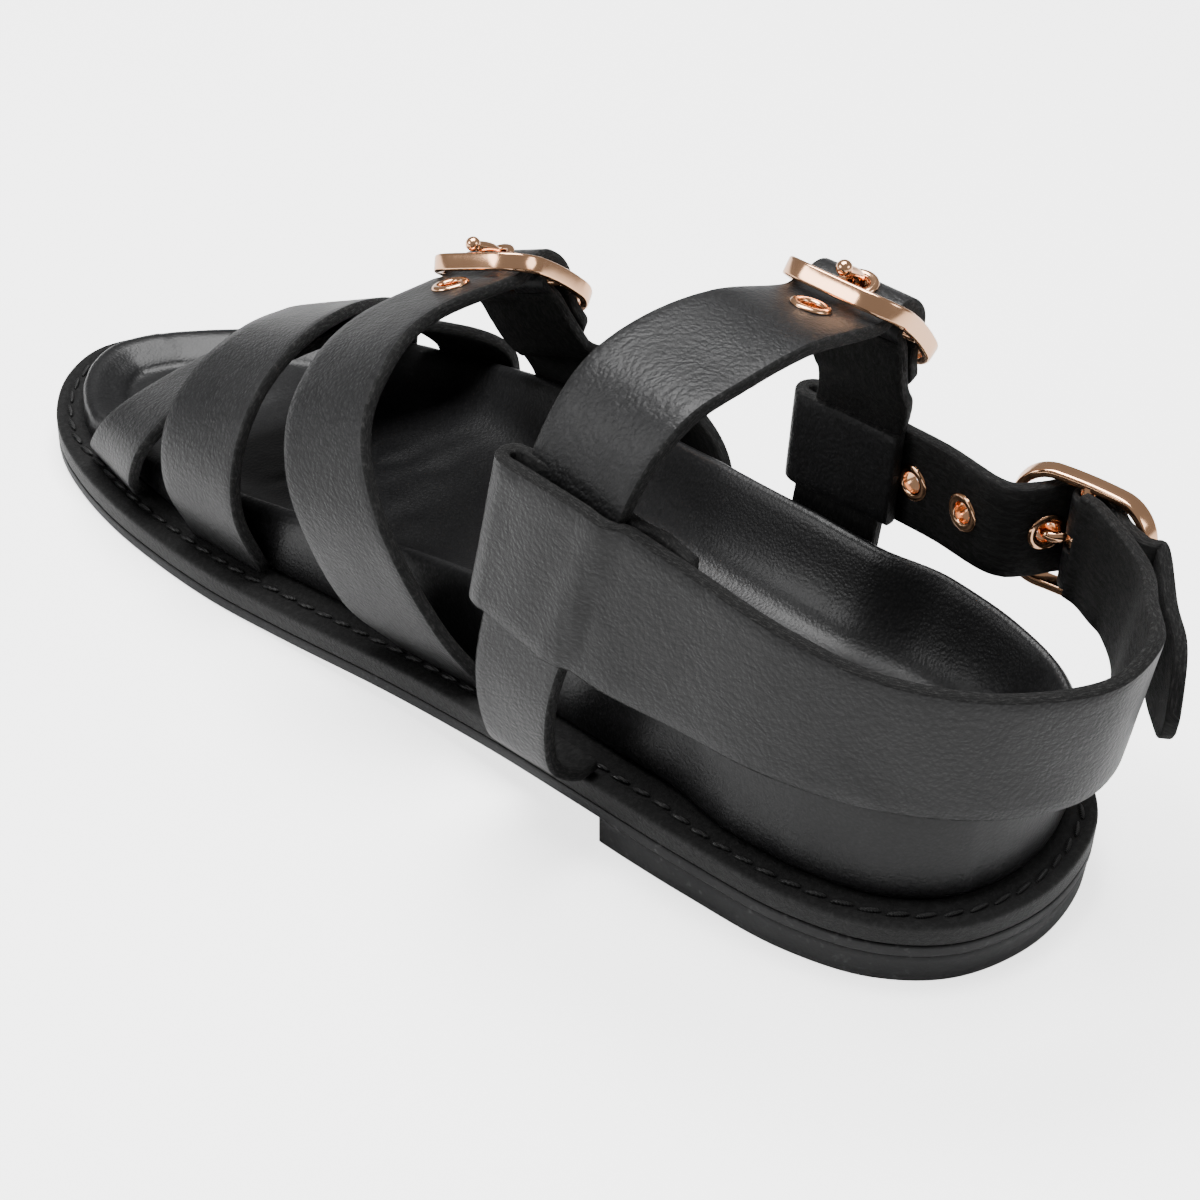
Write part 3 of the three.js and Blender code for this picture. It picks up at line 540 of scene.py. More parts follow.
# --------------------------------------------------------------------- the footbed
# Moulded cork and foam wrapped in smooth black leather: a cupped heel, an arch, a
# raised rim that thins towards the toe and a shallow toe grip. The leather is drawn
# over the rim and tucked under, so the wall shows small upright folds near its foot.
TOE_REACH = {"start": 210, "length": 26, "from": 9, "kept": 0.25}


def footbed_level(extra, height):
    past = max(extra - TOE_REACH["from"], 0) * (1 - TOE_REACH["kept"])
    in_toe = smooth((sole_ring[:, 1] - TOE_REACH["start"]) / TOE_REACH["length"])
    plan = outline(wall_inset + extra - past * in_toe)
    z = height(plan[:, 1], plan[:, 0])
    return np.column_stack([plan, z])


# the wall's three heights are asked for in the same way; only the rim's has two sides
def rim(y, x):
    return np.where(x < 0, last_value(RIM_INNER, y), last_value(RIM_OUTER, y))


def foot_base(y, x):
    return welt_top(y) + GAP


def foot_floor(y, x):
    return last_value(FLOOR, y)


# distance inside the wall's line, share of the height from base to rim (low half) or
# from rim to floor (high half)
WALL_PROFILE = [(0.6, 0.0, 0), (0.15, 0.06, 0), (0.0, 0.14, 0), (0.05, 0.3, 0), (0.15, 0.5, 0),
                (0.3, 0.72, 0), (0.6, 0.86, 0), (1.15, 0.95, 0), (1.9, 0.99, 0), (2.8, 1.0, 0),
                (3.7, 0.06, 1), (4.6, 0.16, 1), (5.8, 0.33, 1), (7.2, 0.50, 1), (8.8, 0.67, 1),
                (10.5, 0.80, 1), (12.6, 0.91, 1), (15, 0.97, 1), (17.5, 0.995, 1), (20, 1.0, 1)]
rings = []
for extra, share, inside in WALL_PROFILE:
    low, high = (rim, foot_floor) if inside else (foot_base, rim)
    rings.append(footbed_level(extra, lambda y, x, s=share, a=low, b=high: a(y, x) + (b(y, x) - a(y, x)) * s))
points, faces = loft_faces(rings, RING, columns=22)
# creases pressed by the foot: centre x and station, half length, turn in degrees,
# width and depth
CREASES = [(-2, 186, 20, -18, 1.8, 0.5), (4, 178, 24, -14, 2.0, 0.45), (8, 169, 18, -10, 1.8, 0.35),
           (-8, 160, 14, 6, 1.8, 0.3), (2, 214, 17, 18, 2.2, 0.45), (-12, 224, 12, 24, 2.0, 0.4)]
for k in range(len(points)):
    x, y, z = points[k]
    inside = z > welt_top(y) + 1.0
    shift = 0.10 * noise.noise(Vector((x, y, z)) * 0.12) + 0.05 * noise.noise(Vector((x, y, z)) * 0.4)
    for cx, cy, half, turn, width, depth in CREASES:
        a = math.radians(turn)
        along = (x - cx) * math.cos(a) + (y - cy) * math.sin(a)
        off = -(x - cx) * math.sin(a) + (y - cy) * math.cos(a) + 1.2 * math.sin(along * 0.35)
        if abs(along) < half and k >= 12 * RING:
            shift -= depth * math.exp(-(off / width) ** 2) * (1 - (along / half) ** 2)
    if k >= 9 * RING:
        points[k, 2] += shift * (1.0 if k >= 12 * RING else 0.5)
for r in range(1, 8):
    share = (1 - r / 8) * 0.30
    for i in range(RING):
        k = r * RING + i
        x, y, z = points[k]
        fold = noise.noise(Vector((i * 0.55, r * 0.10, 3.0)))
        points[k, :2] += sole_inward[i] * (share * fold)
footbed = make_piece("leather_footbed", points, faces)

# pebbled leather: height of the grain, with the valleys between the pebbles and the
# stretched lines that leather shows where it bends
grain_group, grain_in, grain_out = node_group(
    "leather_grain",
    [("Vector", "NodeSocketVector", None), ("Pebbles", "NodeSocketFloat", 900.0),
     ("Pores", "NodeSocketFloat", 2400.0), ("Folds", "NodeSocketFloat", 120.0)],
    [("Height", "NodeSocketFloat"), ("Fold", "NodeSocketFloat"), ("Sheen", "NodeSocketFloat")])
warp = grain_group.nodes.new("ShaderNodeTexNoise")
warp.inputs["Detail"].default_value = 3
grain_group.links.new(grain_in.outputs["Vector"], warp.inputs["Vector"])
grain_group.links.new(grain_in.outputs["Folds"], warp.inputs["Scale"])
bend = grain_group.nodes.new("ShaderNodeVectorMath")
bend.operation = "MULTIPLY_ADD"
grain_group.links.new(warp.outputs["Color"], bend.inputs[0])
bend.inputs[1].default_value = (0.0035, 0.0035, 0.0035)
grain_group.links.new(grain_in.outputs["Vector"], bend.inputs[2])
pebble = grain_group.nodes.new("ShaderNodeTexVoronoi")
pebble.feature = "SMOOTH_F1"
pebble.inputs["Smoothness"].default_value = 0.6
grain_group.links.new(bend.outputs[0], pebble.inputs["Vector"])
grain_group.links.new(grain_in.outputs["Pebbles"], pebble.inputs["Scale"])
pores = grain_group.nodes.new("ShaderNodeTexNoise")
pores.inputs["Detail"].default_value = 4
grain_group.links.new(grain_in.outputs["Vector"], pores.inputs["Vector"])
grain_group.links.new(grain_in.outputs["Pores"], pores.inputs["Scale"])
folds = grain_group.nodes.new("ShaderNodeTexNoise")
folds.noise_type = "RIDGED_MULTIFRACTAL"
folds.inputs["Detail"].default_value = 3
grain_group.links.new(bend.outputs[0], folds.inputs["Vector"])
grain_group.links.new(grain_in.outputs["Folds"], folds.inputs["Scale"])
domes = math_node(grain_group, "SUBTRACT", 1.0, pebble.outputs["Distance"])
fold_height = math_node(grain_group, "MULTIPLY", folds.outputs[0], 0.28)
total = math_node(grain_group, "ADD", math_node(grain_group, "MULTIPLY", domes, 0.55),
                  math_node(grain_group, "MULTIPLY", pores.outputs[0], 0.35))
total = math_node(grain_group, "SUBTRACT", total, fold_height)
grain_group.links.new(total, grain_out.inputs["Height"])
grain_group.links.new(folds.outputs[0], grain_out.inputs["Fold"])
grain_group.links.new(pores.outputs[0], grain_out.inputs["Sheen"])


def leather(name, dark, light, rough, pebbles, pores, folds, depth, uv=False, coat=0.0):
    material, tree, shader = new_material(name, dark, rough[0])
    texture = tree.nodes.new("ShaderNodeTexCoord")
    where = texture.outputs["UV" if uv else "Object"]
    grain = place_group(tree, grain_group, {"Pebbles": pebbles, "Pores": pores, "Folds": folds}, where)
    dust = place_group(tree, dust_group, {"Scale": 55.0, "Amount": 0.35}, texture.outputs["Object"])
    # colour follows the grain's height: the leather's own colour, darker in the low valleys between pebbles
    # and along the fold lines, which is painted shade in the hollows
    grain_tone_and_shade = tree.nodes.new("ShaderNodeMix")
    grain_tone_and_shade.data_type = "RGBA"
    tree.links.new(remap(tree, grain.outputs["Height"], 0.0, 1.0, 0.25, 0.7), grain_tone_and_shade.inputs[0])
    grain_tone_and_shade.inputs[6].default_value = (*dark, 1)
    grain_tone_and_shade.inputs[7].default_value = (*light, 1)
    dusted = tree.nodes.new("ShaderNodeMix")
    dusted.data_type = "RGBA"
    tree.links.new(dust.outputs["Mask"], dusted.inputs[0])
    tree.links.new(grain_tone_and_shade.outputs[2], dusted.inputs[6])
    dusted.inputs[7].default_value = (0.05, 0.05, 0.05, 1)
    tree.links.new(dusted.outputs[2], shader.inputs["Base Color"])
    tree.links.new(remap(tree, dust.outputs["Cloud"], rough[0], rough[1], 0.3, 0.7),
                   shader.inputs["Roughness"])
    shader.inputs["Coat Weight"].default_value = coat
    shader.inputs["Coat Roughness"].default_value = 0.35
    bump(tree, shader, grain.outputs["Height"], depth)
    return material


lining = leather("smooth footbed leather", (0.0045, 0.0045, 0.0048), (0.009, 0.009, 0.0095),
                 (0.32, 0.42), 1500.0, 3200.0, 90.0, 0.00010, coat=0.08)
footbed.data.materials.append(lining)
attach(footbed, "root")
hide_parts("footbed")

# ------------------------------------------------------------------- the toe straps
# Two crossed straps of 2.6 mm vegetable-tanned leather, black and drum-milled to a fine
# grain. They are cut, not folded, so the edges show the fibres; the ends run down
# outside the footbed's wall into the welt seam.
LEATHER = 2.6
grain_side = leather("strap leather, grain side", (0.0055, 0.0055, 0.0058), (0.011, 0.011, 0.0115),
                     (0.38, 0.50), 1150.0, 2600.0, 150.0, 0.00022, uv=True, coat=0.06)
cut_edge_with_painted_highlight, tree, shader = new_material("strap leather, cut edge with painted highlight", (0.012, 0.012, 0.012), 0.8)
where = tree.nodes.new("ShaderNodeTexCoord").outputs["UV"]
stretch = tree.nodes.new("ShaderNodeMapping")
stretch.inputs["Scale"].default_value = (700, 2600, 1)
tree.links.new(where, stretch.inputs["Vector"])
fibre = tree.nodes.new("ShaderNodeTexNoise")
fibre.inputs["Scale"].default_value = 1.0
fibre.inputs["Detail"].default_value = 5
fibre.inputs["Roughness"].default_value = 0.75
tree.links.new(stretch.outputs[0], fibre.inputs["Vector"])
# the raw edge's fibres are paler than the grain side, and this pale colour also stands in for the highlight
# along the cut edges: partly painted highlight
tree.links.new(mix_colours(tree, remap(tree, fibre.outputs[0], 0.0, 1.0, 0.5, 0.8),
                           (0.004, 0.004, 0.004), (0.045, 0.044, 0.043)), shader.inputs["Base Color"])
tree.links.new(remap(tree, fibre.outputs[0], 0.92, 0.66, 0.3, 0.7), shader.inputs["Roughness"])
bump(tree, shader, fibre.outputs[0], 0.0006)
flesh_side, tree, shader = new_material("strap leather, flesh side", (0.010, 0.010, 0.010), 0.85)
where = tree.nodes.new("ShaderNodeTexCoord").outputs["UV"]
stretch = tree.nodes.new("ShaderNodeMapping")
stretch.inputs["Scale"].default_value = (500, 1100, 1)
tree.links.new(where, stretch.inputs["Vector"])
nap = tree.nodes.new("ShaderNodeTexNoise")
nap.inputs["Scale"].default_value = 1.0
nap.inputs["Detail"].default_value = 6
nap.inputs["Roughness"].default_value = 0.8
nap.inputs["Distortion"].default_value = 0.6
tree.links.new(stretch.outputs[0], nap.inputs["Vector"])
tree.links.new(mix_colours(tree, remap(tree, nap.outputs[0], 0.0, 1.0, 0.45, 0.75),
                           (0.003, 0.003, 0.003), (0.015, 0.015, 0.0145)), shader.inputs["Base Color"])
tree.links.new(remap(tree, nap.outputs[0], 0.95, 0.72, 0.3, 0.7), shader.inputs["Roughness"])
bump(tree, shader, nap.outputs[0], 0.0004)


def rail(points):
    """Evenly turning curve through points, sampled by a parameter from 0 to 1."""
    pts = np.asarray(points, float)
    pts = np.vstack([2 * pts[0] - pts[1], pts, 2 * pts[-1] - pts[-2]])

    def at(t):
        s = np.clip(np.asarray(t, float), 0, 1) * (len(pts) - 3)
        k = np.minimum(np.floor(s).astype(int), len(pts) - 4)
        f = (s - k)[..., None]
        p0, p1, p2, p3 = pts[k], pts[k + 1], pts[k + 2], pts[k + 3]
        m1, m2 = 0.5 * (p2 - p0), 0.5 * (p3 - p1)
        return ((2 * p1 - 2 * p2 + m1 + m2) * f ** 3 + (-3 * p1 + 3 * p2 - 2 * m1 - m2) * f ** 2
                + m1 * f + p1)
    return at


def strap_frames(rows, t):
    """Front edge, back edge, direction along, across and outward at each t."""
    front, back = rail([r[0:3] for r in rows]), rail([r[3:6] for r in rows])
    f, b = front(t), back(t)
    step = 0.004
    run = (front(np.minimum(t + step, 1)) + back(np.minimum(t + step, 1))
           - front(np.maximum(t - step, 0)) - back(np.maximum(t - step, 0)))
    run /= np.linalg.norm(run, axis=1)[:, None]
    across = f - b
    width = np.linalg.norm(across, axis=1)
    across = across / width[:, None]
    out = np.cross(run, across)
    out /= np.linalg.norm(out, axis=1)[:, None]
    return f, b, run, across, out, width


def strap(name, rows, step=1.3, thickness=LEATHER, seed=0.0, wave=0.10, tip=None, press=None):
    """A ribbon of leather between two edge rails. Rows hold the front edge's and the
    back edge's place on the outer face. tip rounds the last few mm of a free end, and
    press(place, t) is how far a point sinks in."""
    fine = np.linspace(0, 1, 600)
    f, b, *_ = strap_frames(rows, fine)
    middle = (f + b) / 2
    travel = np.concatenate([[0], np.cumsum(np.linalg.norm(np.diff(middle, axis=0), axis=1))])
    count = max(8, int(round(travel[-1] / step)))
    t = np.interp(np.linspace(0, travel[-1], count + 1), travel, fine)
    along = np.interp(t, fine, travel)
    f, b, _, across, out, width = strap_frames(rows, t)
    if tip:
        left = travel[-1] - along
        pinch = np.where(left < tip, 1 - np.sqrt(np.clip(1 - (1 - left / tip) ** 2, 0, 1)), 0) * width * 0.42
        f, b = f - across * pinch[:, None], b + across * pinch[:, None]
        width = width - 2 * pinch
    ease = 0.55
    profile = [(0.0, thickness * 0.5, 1), (0.02, ease, 1), (0.22, 0.16, 1), (ease, 0.02, 0)]
    profile += [(s, 0.0, 0) for s in (0.12, 0.25, 0.4, 0.5, 0.6, 0.75, 0.88)]
    profile += [(-ease, 0.02, 0), (-0.22, 0.16, 1), (-0.02, ease, 1), (-0.0001, thickness * 0.5, 1),
                (-0.03, thickness - 0.3, 1), (-0.35, thickness, 2)]
    profile += [(s, thickness, 2) for s in (0.8, 0.6, 0.4, 0.2)]
    profile += [(0.35, thickness, 2), (0.03, thickness - 0.3, 1)]
    points, uvs = [], []
    for i in range(count + 1):
        for k, (place, depth, _) in enumerate(profile):
            share = 3 < k < 11 or 17 <= k <= 20
            if share:
                a = place * width[i]
            elif place < 0:
                a = width[i] + place
            else:
                a = place
            dip = 0.0
            if depth < 0.1 or depth > thickness - 0.1:
                q = Vector((along[i] * 0.06, a * 0.08, seed))
                dip = wave * noise.noise(q) + wave * 0.5 * noise.noise(q * 2.7)
            ragged = 0.0
            if depth >= 0.1:
                ragged = 0.06 * noise.noise(Vector((along[i] * 1.3, depth, seed + a)))
            p = b[i] + across[i] * (a + (ragged if a < width[i] / 2 else -ragged)) - out[i] * (depth + dip)
            if press:
                p = p - out[i] * press(p, t[i])
            points.append(p)
            uvs.append((along[i] * MM, (a + depth) * MM))
    n = len(profile)
    faces, marks = [], []
    for i in range(count):
        for k in range(n):
            j = (k + 1) % n
            faces.append((i * n + k, (i + 1) * n + k, (i + 1) * n + j, i * n + j)[::-1])
            kinds = (profile[k][2], profile[j][2])
            marks.append(0 if kinds == (0, 0) else 2 if kinds == (2, 2) else 1)
    faces.append(tuple(range(n))[::-1])
    faces.append(tuple(count * n + k for k in range(n)))
    marks += [1, 1]
    piece = make_piece(name, points, faces)
    for material in (grain_side, cut_edge_with_painted_highlight, flesh_side):
        piece.data.materials.append(material)
    layer = piece.data.uv_layers.new(name="UVMap")
    for polygon in piece.data.polygons:
        polygon.material_index = marks[polygon.index]
        for loop in polygon.loop_indices:
            layer.data[loop].uv = uvs[piece.data.loops[loop].vertex_index]
    bm_fix(piece)
    return piece


def bm_fix(piece):
    """Turns every face of a closed piece outwards."""
    import bmesh
    work = bmesh.new()
    work.from_mesh(piece.data)
    bmesh.ops.recalc_face_normals(work, faces=work.faces)
    work.to_mesh(piece.data)
    work.free()


def join_pieces(name, pieces):
    """One object from several, keeping materials and UVs."""
    with bpy.context.temp_override(active_object=pieces[0], object=pieces[0],
                                   selected_objects=pieces, selected_editable_objects=pieces):
        bpy.ops.object.join()
    pieces[0].name = name
    pieces[0].data.name = name
    return pieces[0]


# rows: front edge x, y, z and back edge x, y, z, in mm
TOE_UNDER = [
    (-35.0, 229, 9.4, -38.3, 210, 8.6), (-38.5, 224.5, 16, -42.5, 206, 17),
    (-36.5, 220, 24, -41, 202.5, 27), (-26, 218, 28, -31, 200, 34),
    (-8, 214.5, 31.5, -10, 196, 38), (12, 209.5, 32.5, 10, 190.5, 39.5),
    (30, 204, 28, 29.5, 184, 34.5), (42.8, 201.5, 18, 44.2, 179, 24),
    (45.3, 200.5, 8.2, 46, 178, 8.6)]
TOE_OVER = [
    (-38.2, 192, 8.6, -37.5, 170.5, 9.4), (-42.2, 195, 22, -42.2, 172, 24),
    (-39.5, 196.5, 35, -41, 173, 37), (-28.5, 199, 42.5, -33, 175.5, 47.5),
    (-14, 202.5, 43.5, -18, 180.5, 51.5), (1, 207, 39.6, 0, 186, 49.6),
    (13, 212, 33.5, 16, 192, 43), (23.5, 217.5, 25.5, 30.5, 200, 32.5),
    (30.4, 223.4, 16.5, 41, 206.4, 21), (32, 226.4, 8.9, 42.8, 208.8, 8.4)]
toe_straps = join_pieces("crossed_toe_straps", [
    strap("toe_strap_under", TOE_UNDER, seed=1.0), strap("toe_strap_over", TOE_OVER, seed=2.0)])
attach(toe_straps, "root")
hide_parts("straps_toe")

# ----------------------------------------------------------------- the instep strap
# The inner half rises from the welt, passes under, over and under the buckle and ends
# just past it; the outer half is folded round the buckle's centre bar, skived thin in
# the fold and slotted for the pin. The halves meet high on the outer side.
BUCKLE = {"length": 29.0, "width": 26.4, "corner": 8.0, "band": 3.6, "wall": 1.8, "bend": 60.0,
          "bar": -0.7, "bar_radius": 1.3, "pin": 1.1, "ball": 1.5, "sleeve": 2.9}
STRAP_HALF = 10.2
EYELET = {"bore": 2.1, "barrel": 2.6, "flange": 3.9, "lip": 0.7}
END = BUCKLE["length"] / 2


def buckle_place(centre, run, across):
    centre, run, across = (np.array(v, float) for v in (centre, run, across))
    across /= np.linalg.norm(across)
    run = run - across * (run @ across)
    run /= np.linalg.norm(run)
    return centre, run, across, np.cross(run, across)


def on_buckle(place, u, v, w):
    """Point u along the strap, v towards its front edge, w outwards on the bent frame."""
    centre, run, across, out = place
    angle, reach = u / BUCKLE["bend"], BUCKLE["bend"] + w
    rise = math.cos(angle) * reach - BUCKLE["bend"]
    return centre + run * math.sin(angle) * reach + out * rise + across * v


def buckle_row(place, u, w, half=STRAP_HALF):
    """Both edges of a strap at place u along the buckle, at height w on its frame."""
    return (*on_buckle(place, u, half, w), *on_buckle(place, u, -half, w))


def through_buckle(place):
    """A strap's way through its buckle: under both end bars and over the centre bar."""
    under = -BUCKLE["band"] / 2 - GAP
    over = BUCKLE["bar"] + BUCKLE["sleeve"] + GAP + LEATHER
    return [buckle_row(place, u, w) for u, w in (
        (-END - 1, under - 1.8), (-END + 4.5, under + 0.2), (-4.5, over - 1.3), (0, over),
        (4.5, over - 1.3), (END - 5, under + 1.0), (END + 1, under - 0.5))]


def under_fold(place):
    """The lower layer of a folded strap, from under the centre bar outwards."""
    layer = ((0.5, -1.4), (4, -2.2), (9, -4.3), (15, -5.8), (20, -5.5))
    return [buckle_row(place, u, w) for u, w in layer]


def fold_rows(place, half=STRAP_HALF + 0.3):
    """The skived end of a strap round the centre bar, from its upper to its lower layer."""
    bar, r = BUCKLE["bar"], BUCKLE["sleeve"]
    route = [(6.5, bar - 0.2), (3.2, bar + 1.9), (0, bar + r), (-2.1, bar + 2.0), (-2.9, bar),
             (-2.1, bar - 2.0), (0, bar - r), (4.0, bar - r - 1.1), (8.0, bar - r - 2.4)]
    return [(*on_buckle(place, u, -half, w), *on_buckle(place, u, half, w)) for u, w in route]


def hole_place(rows, index):
    """Middle of the leather and the outward direction at a place along the rows."""
    t = np.array([index / (len(rows) - 1)])
    f, b, _, _, out, _ = strap_frames(rows, t)
    return (f[0] + b[0]) / 2 - out[0] * LEATHER / 2, out[0]


def rod(name, start, finish, radius, sides=32):
    start, finish = np.array(start, float), np.array(finish, float)
    axis = Vector(finish - start)
    turn = axis.normalized().to_track_quat("Z", "Y")
    ring = [turn @ Vector((math.cos(2 * math.pi * i / sides) * radius,
                           math.sin(2 * math.pi * i / sides) * radius, 0)) for i in range(sides)]
    points = [start + np.array(p) for p in ring] + [finish + np.array(p) for p in ring]
    faces = [(i, (i + 1) % sides, sides + (i + 1) % sides, sides + i) for i in range(sides)]
    faces += [tuple(range(sides))[::-1], tuple(range(sides, 2 * sides))]
    return make_piece(name, points, faces)


def cut_away(piece, cutters):
    """Cuts rods out of a piece and throws the rods away."""
    for cutter in cutters:
        modifier = piece.modifiers.new("cut", "BOOLEAN")
        modifier.operation = "DIFFERENCE"
        modifier.solver = "EXACT"
        modifier.object = cutter
    evaluated = piece.evaluated_get(bpy.context.evaluated_depsgraph_get())
    made = bpy.data.meshes.new_from_object(evaluated)
    piece.modifiers.clear()
    old = piece.data
    piece.data = made
    bpy.data.meshes.remove(old)
    for cutter in cutters:
        data = cutter.data
        bpy.data.objects.remove(cutter)
        bpy.data.meshes.remove(data)


def hole_strap(name, rows, holes, seed, tip):
    piece = strap(name, rows, seed=seed, tip=tip, step=1.0)
    cutters = []
    for index in holes:
        centre, out = hole_place(rows, index)
        cutters.append(rod("punch", centre - out * 4, centre + out * 4, EYELET["barrel"] + 0.1))
    cut_away(piece, cutters)
    return piece


def folded_end(name, place, seed):
    piece = strap(name, fold_rows(place), step=0.6, thickness=1.25, seed=seed, wave=0.03)
    slot_at = on_buckle(place, -2.2, 0, 0.6)
    cut_away(piece, [rod("slot", slot_at - place[2] * 1.8, slot_at + place[2] * 1.8, 6.0)])
    return piece


instep_place = buckle_place((21, 157, 61.4), (0.762, -0.132, -0.634), (-0.14, 0.922, -0.361))
INSTEP_INNER = [
    (-35.5, 132.5, 11.6, -34.6, 107.5, 13.2), (-42.5, 141, 22, -41, 115, 27),
    (-46, 150, 42, -44.5, 126, 47), (-39.5, 158.5, 53.5, -39, 137, 61.5),
    (-27, 164.5, 59.5, -26, 143.5, 69.5), (-12, 168, 61.5, -10, 148.5, 70.5)]
INSTEP_OUTER = [
    (37.5, 169.5, 33, 34.2, 132, 48.5), (42.2, 169.5, 26, 37, 119, 41),
    (44.4, 169, 19, 37.4, 110, 31.5), (43.6, 168.5, 9.8, 34.4, 104, 13.4)]
instep_rows = INSTEP_INNER + through_buckle(instep_place) + [buckle_row(instep_place, END + 4, -2.3)]
instep_holes = (5.78, 7.72)
instep_inner = hole_strap("instep_strap_inner", instep_rows, instep_holes, 3.0, 5.0)
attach(instep_inner, "root")
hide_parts("strap_instep_medial")
instep_outer = join_pieces("instep_strap_outer", [
    strap("instep_outer", under_fold(instep_place) + INSTEP_OUTER, seed=4.0),
    folded_end("instep_fold", instep_place, 4.5)])
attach(instep_outer, "root")
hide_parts("strap_instep_lateral")

# ------------------------------------------------------- the ankle strap and heel strap
# The ankle strap rises from the inner welt over the ankle to a buckle on the outer
# side. The heel strap starts folded round its front edge, is sewn there, runs round
# the heel and is folded round the bar of the third buckle.
ankle_place = buckle_place((25, 73.5, 90.2), (0.68, 0.06, -0.73), (-0.06, 0.998, 0.02))
heel_place = buckle_place((41.8, 30.6, 52.4), (0.1, -0.96, -0.2), (0, 0, -1))
ANKLE_INNER = [
    (-36.8, 93.5, 14.4, -36.8, 77, 14.9), (-42, 94.5, 14.3, -42, 77.5, 14.9),
    (-47.5, 95.5, 19.5, -47.5, 79, 20.5), (-50.3, 96, 34, -50.3, 77.5, 36),
    (-49.8, 94.5, 50, -49.8, 74, 52), (-47.4, 91, 70, -47.4, 69, 72),
    (-42.6, 88.8, 87.5, -43.6, 65, 89.5), (-34, 87.5, 98.5, -35, 62.5, 99.5),
    (-21, 86, 102.5, -22, 61.5, 101.5), (-6, 83.5, 102.5, -6, 61, 101.5)]
HEEL_BAND = [
    (-41.8, 54, 79, -42.6, 54, 47), (-41.5, 66, 81.5, -44, 67, 48),
    (-41.8, 80, 83, -45, 82, 50.5), (-42.2, 87.5, 83.5, -45.1, 91, 52.3),
    (-42.4, 90.7, 83.6, -45.2, 94, 52.5), (-43.4, 93.2, 83.7, -46.2, 96.5, 52.8),
    (-45.9, 94.2, 83.8, -48.8, 97.6, 53), (-48.4, 93.2, 83.8, -51.4, 96.5, 52.8),
    (-49.4, 90.7, 83.8, -52.4, 94, 52.5), (-49.5, 87.5, 83.8, -52.4, 91, 52.3),
    (-49.6, 79, 83.6, -52.3, 81, 50.5), (-48.6, 65, 82, -51.2, 66, 48),
    (-46, 50, 78.5, -47, 50, 46.5), (-42.5, 34, 75, -43, 33, 45), (-36, 18, 71, -35.5, 17, 43.5),
    (-24, 3, 69, -23.5, 3, 42.5), (-7, -7, 68, -8, -5, 41.5), (9, -6, 67.5, 6.5, -4, 41),
    (20.5, 2.2, 66, 17.5, 3.4, 40.5), (29.3, 8.8, 64.4, 28.4, 9.8, 40.2)]


def pressed_over_ankle_strap(place, t):
    """The heel strap lies over the ankle strap, then drops behind its rear edge, where
    the leather is creased along the edge. Its inner layer gives way by as much."""
    behind = 74 - (place[2] - 52) * 0.254 - place[1]
    if t < 0.41:
        return -1.7 * float(smooth((behind - 1) / 6))
    sink = 1.6 * float(smooth((behind + 1.2) / 3.4)) * (1 - float(smooth((behind - 8) / 30)))
    swell = 0.35 * math.exp(-((behind + 3.2) / 2.2) ** 2)
    crease = math.exp(-((behind - 0.4) / 3.0) ** 2)
    lines = noise.noise(Vector((behind * 1.25, place[2] * 0.13, 4.0)))
    lines += 0.6 * noise.noise(Vector((behind * 2.4, place[2] * 0.35, 9.0)))
    return sink - swell + 0.42 * crease * lines


ankle_rows = ANKLE_INNER + through_buckle(ankle_place) + [buckle_row(ankle_place, END + 4, -2.3)]
ankle_holes = (9.78, 11.72)
heel_rows = list(HEEL_BAND)
for u, w in ((15, -6.6), (9, -4.4), (4, -2.2), (0.5, -1.4)):
    r = buckle_row(heel_place, u, w, 11.6)
    heel_rows.append((*r[3:6], *r[0:3]))
ankle_and_heel = join_pieces("ankle_and_heel_strap", [
    hole_strap("ankle_strap_inner", ankle_rows, ankle_holes, 5.0, 5.0),
    strap("heel_strap", heel_rows, step=0.7, seed=6.0, wave=0.16, press=pressed_over_ankle_strap),
    folded_end("heel_fold", heel_place, 6.5)])
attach(ankle_and_heel, "root")
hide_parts("strap_ankle_heel")

# ------------------------------------------- the outer ankle strap and the hole strap
# The outer half of the ankle strap hangs from its buckle down to the outer welt. The
# hole strap is folded round its front edge, runs back through the third buckle and
# leaves its tapered end hanging beside the heel strap.
ANKLE_OUTER = [
    (36.2, 88.2, 61, 36.2, 67.6, 62), (38.1, 91, 50, 38.1, 70.2, 51),
    (37.6, 92.2, 34, 37.4, 71.4, 35), (34.8, 92, 14.4, 34.6, 71, 15)]
HOLE_BAND = [
    (33.2, 68, 39.5, 33.2, 68, 60.5), (33.3, 80, 38.5, 33.3, 80, 60),
    (33.3, 88.5, 37.9, 33.3, 88, 59.2), (33.4, 91.6, 37.7, 33.4, 91.1, 59),
    (34.5, 94.2, 37.6, 34.5, 93.7, 58.8), (37.1, 95.3, 37.5, 37.1, 94.8, 58.7),
    (39.7, 94.2, 37.5, 39.7, 93.7, 58.7), (40.8, 91.6, 37.6, 40.8, 91.1, 58.8),
    (40.6, 88.5, 37.7, 40.5, 88, 59), (40.1, 80, 38, 39.8, 80, 59.5),
    (39.4, 70, 38.8, 39.2, 70, 60.2), (37.6, 58, 40.4, 37.6, 58, 61.4)]
HOLE_TAIL = [(31.5, 4, 36.8, 31.5, 4, 58.3), (26, -2, 35.6, 26, -2, 56.2),
             (19.5, -7, 38.5, 20, -6.5, 51.5)]
hole_rows = (HOLE_BAND + through_buckle(heel_place)
             + [buckle_row(heel_place, END + 5, -1.6)] + HOLE_TAIL)
heel_holes = (10.45, 11.5, 13.3)
ankle_outer = join_pieces("outer_ankle_and_hole_strap", [
    strap("ankle_outer", under_fold(ankle_place) + ANKLE_OUTER, seed=7.0),
    folded_end("ankle_fold", ankle_place, 7.5),
    hole_strap("hole_strap", hole_rows, heel_holes, 8.0, 5.0)])
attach(ankle_outer, "root")
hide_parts("strap_ankle_lateral")

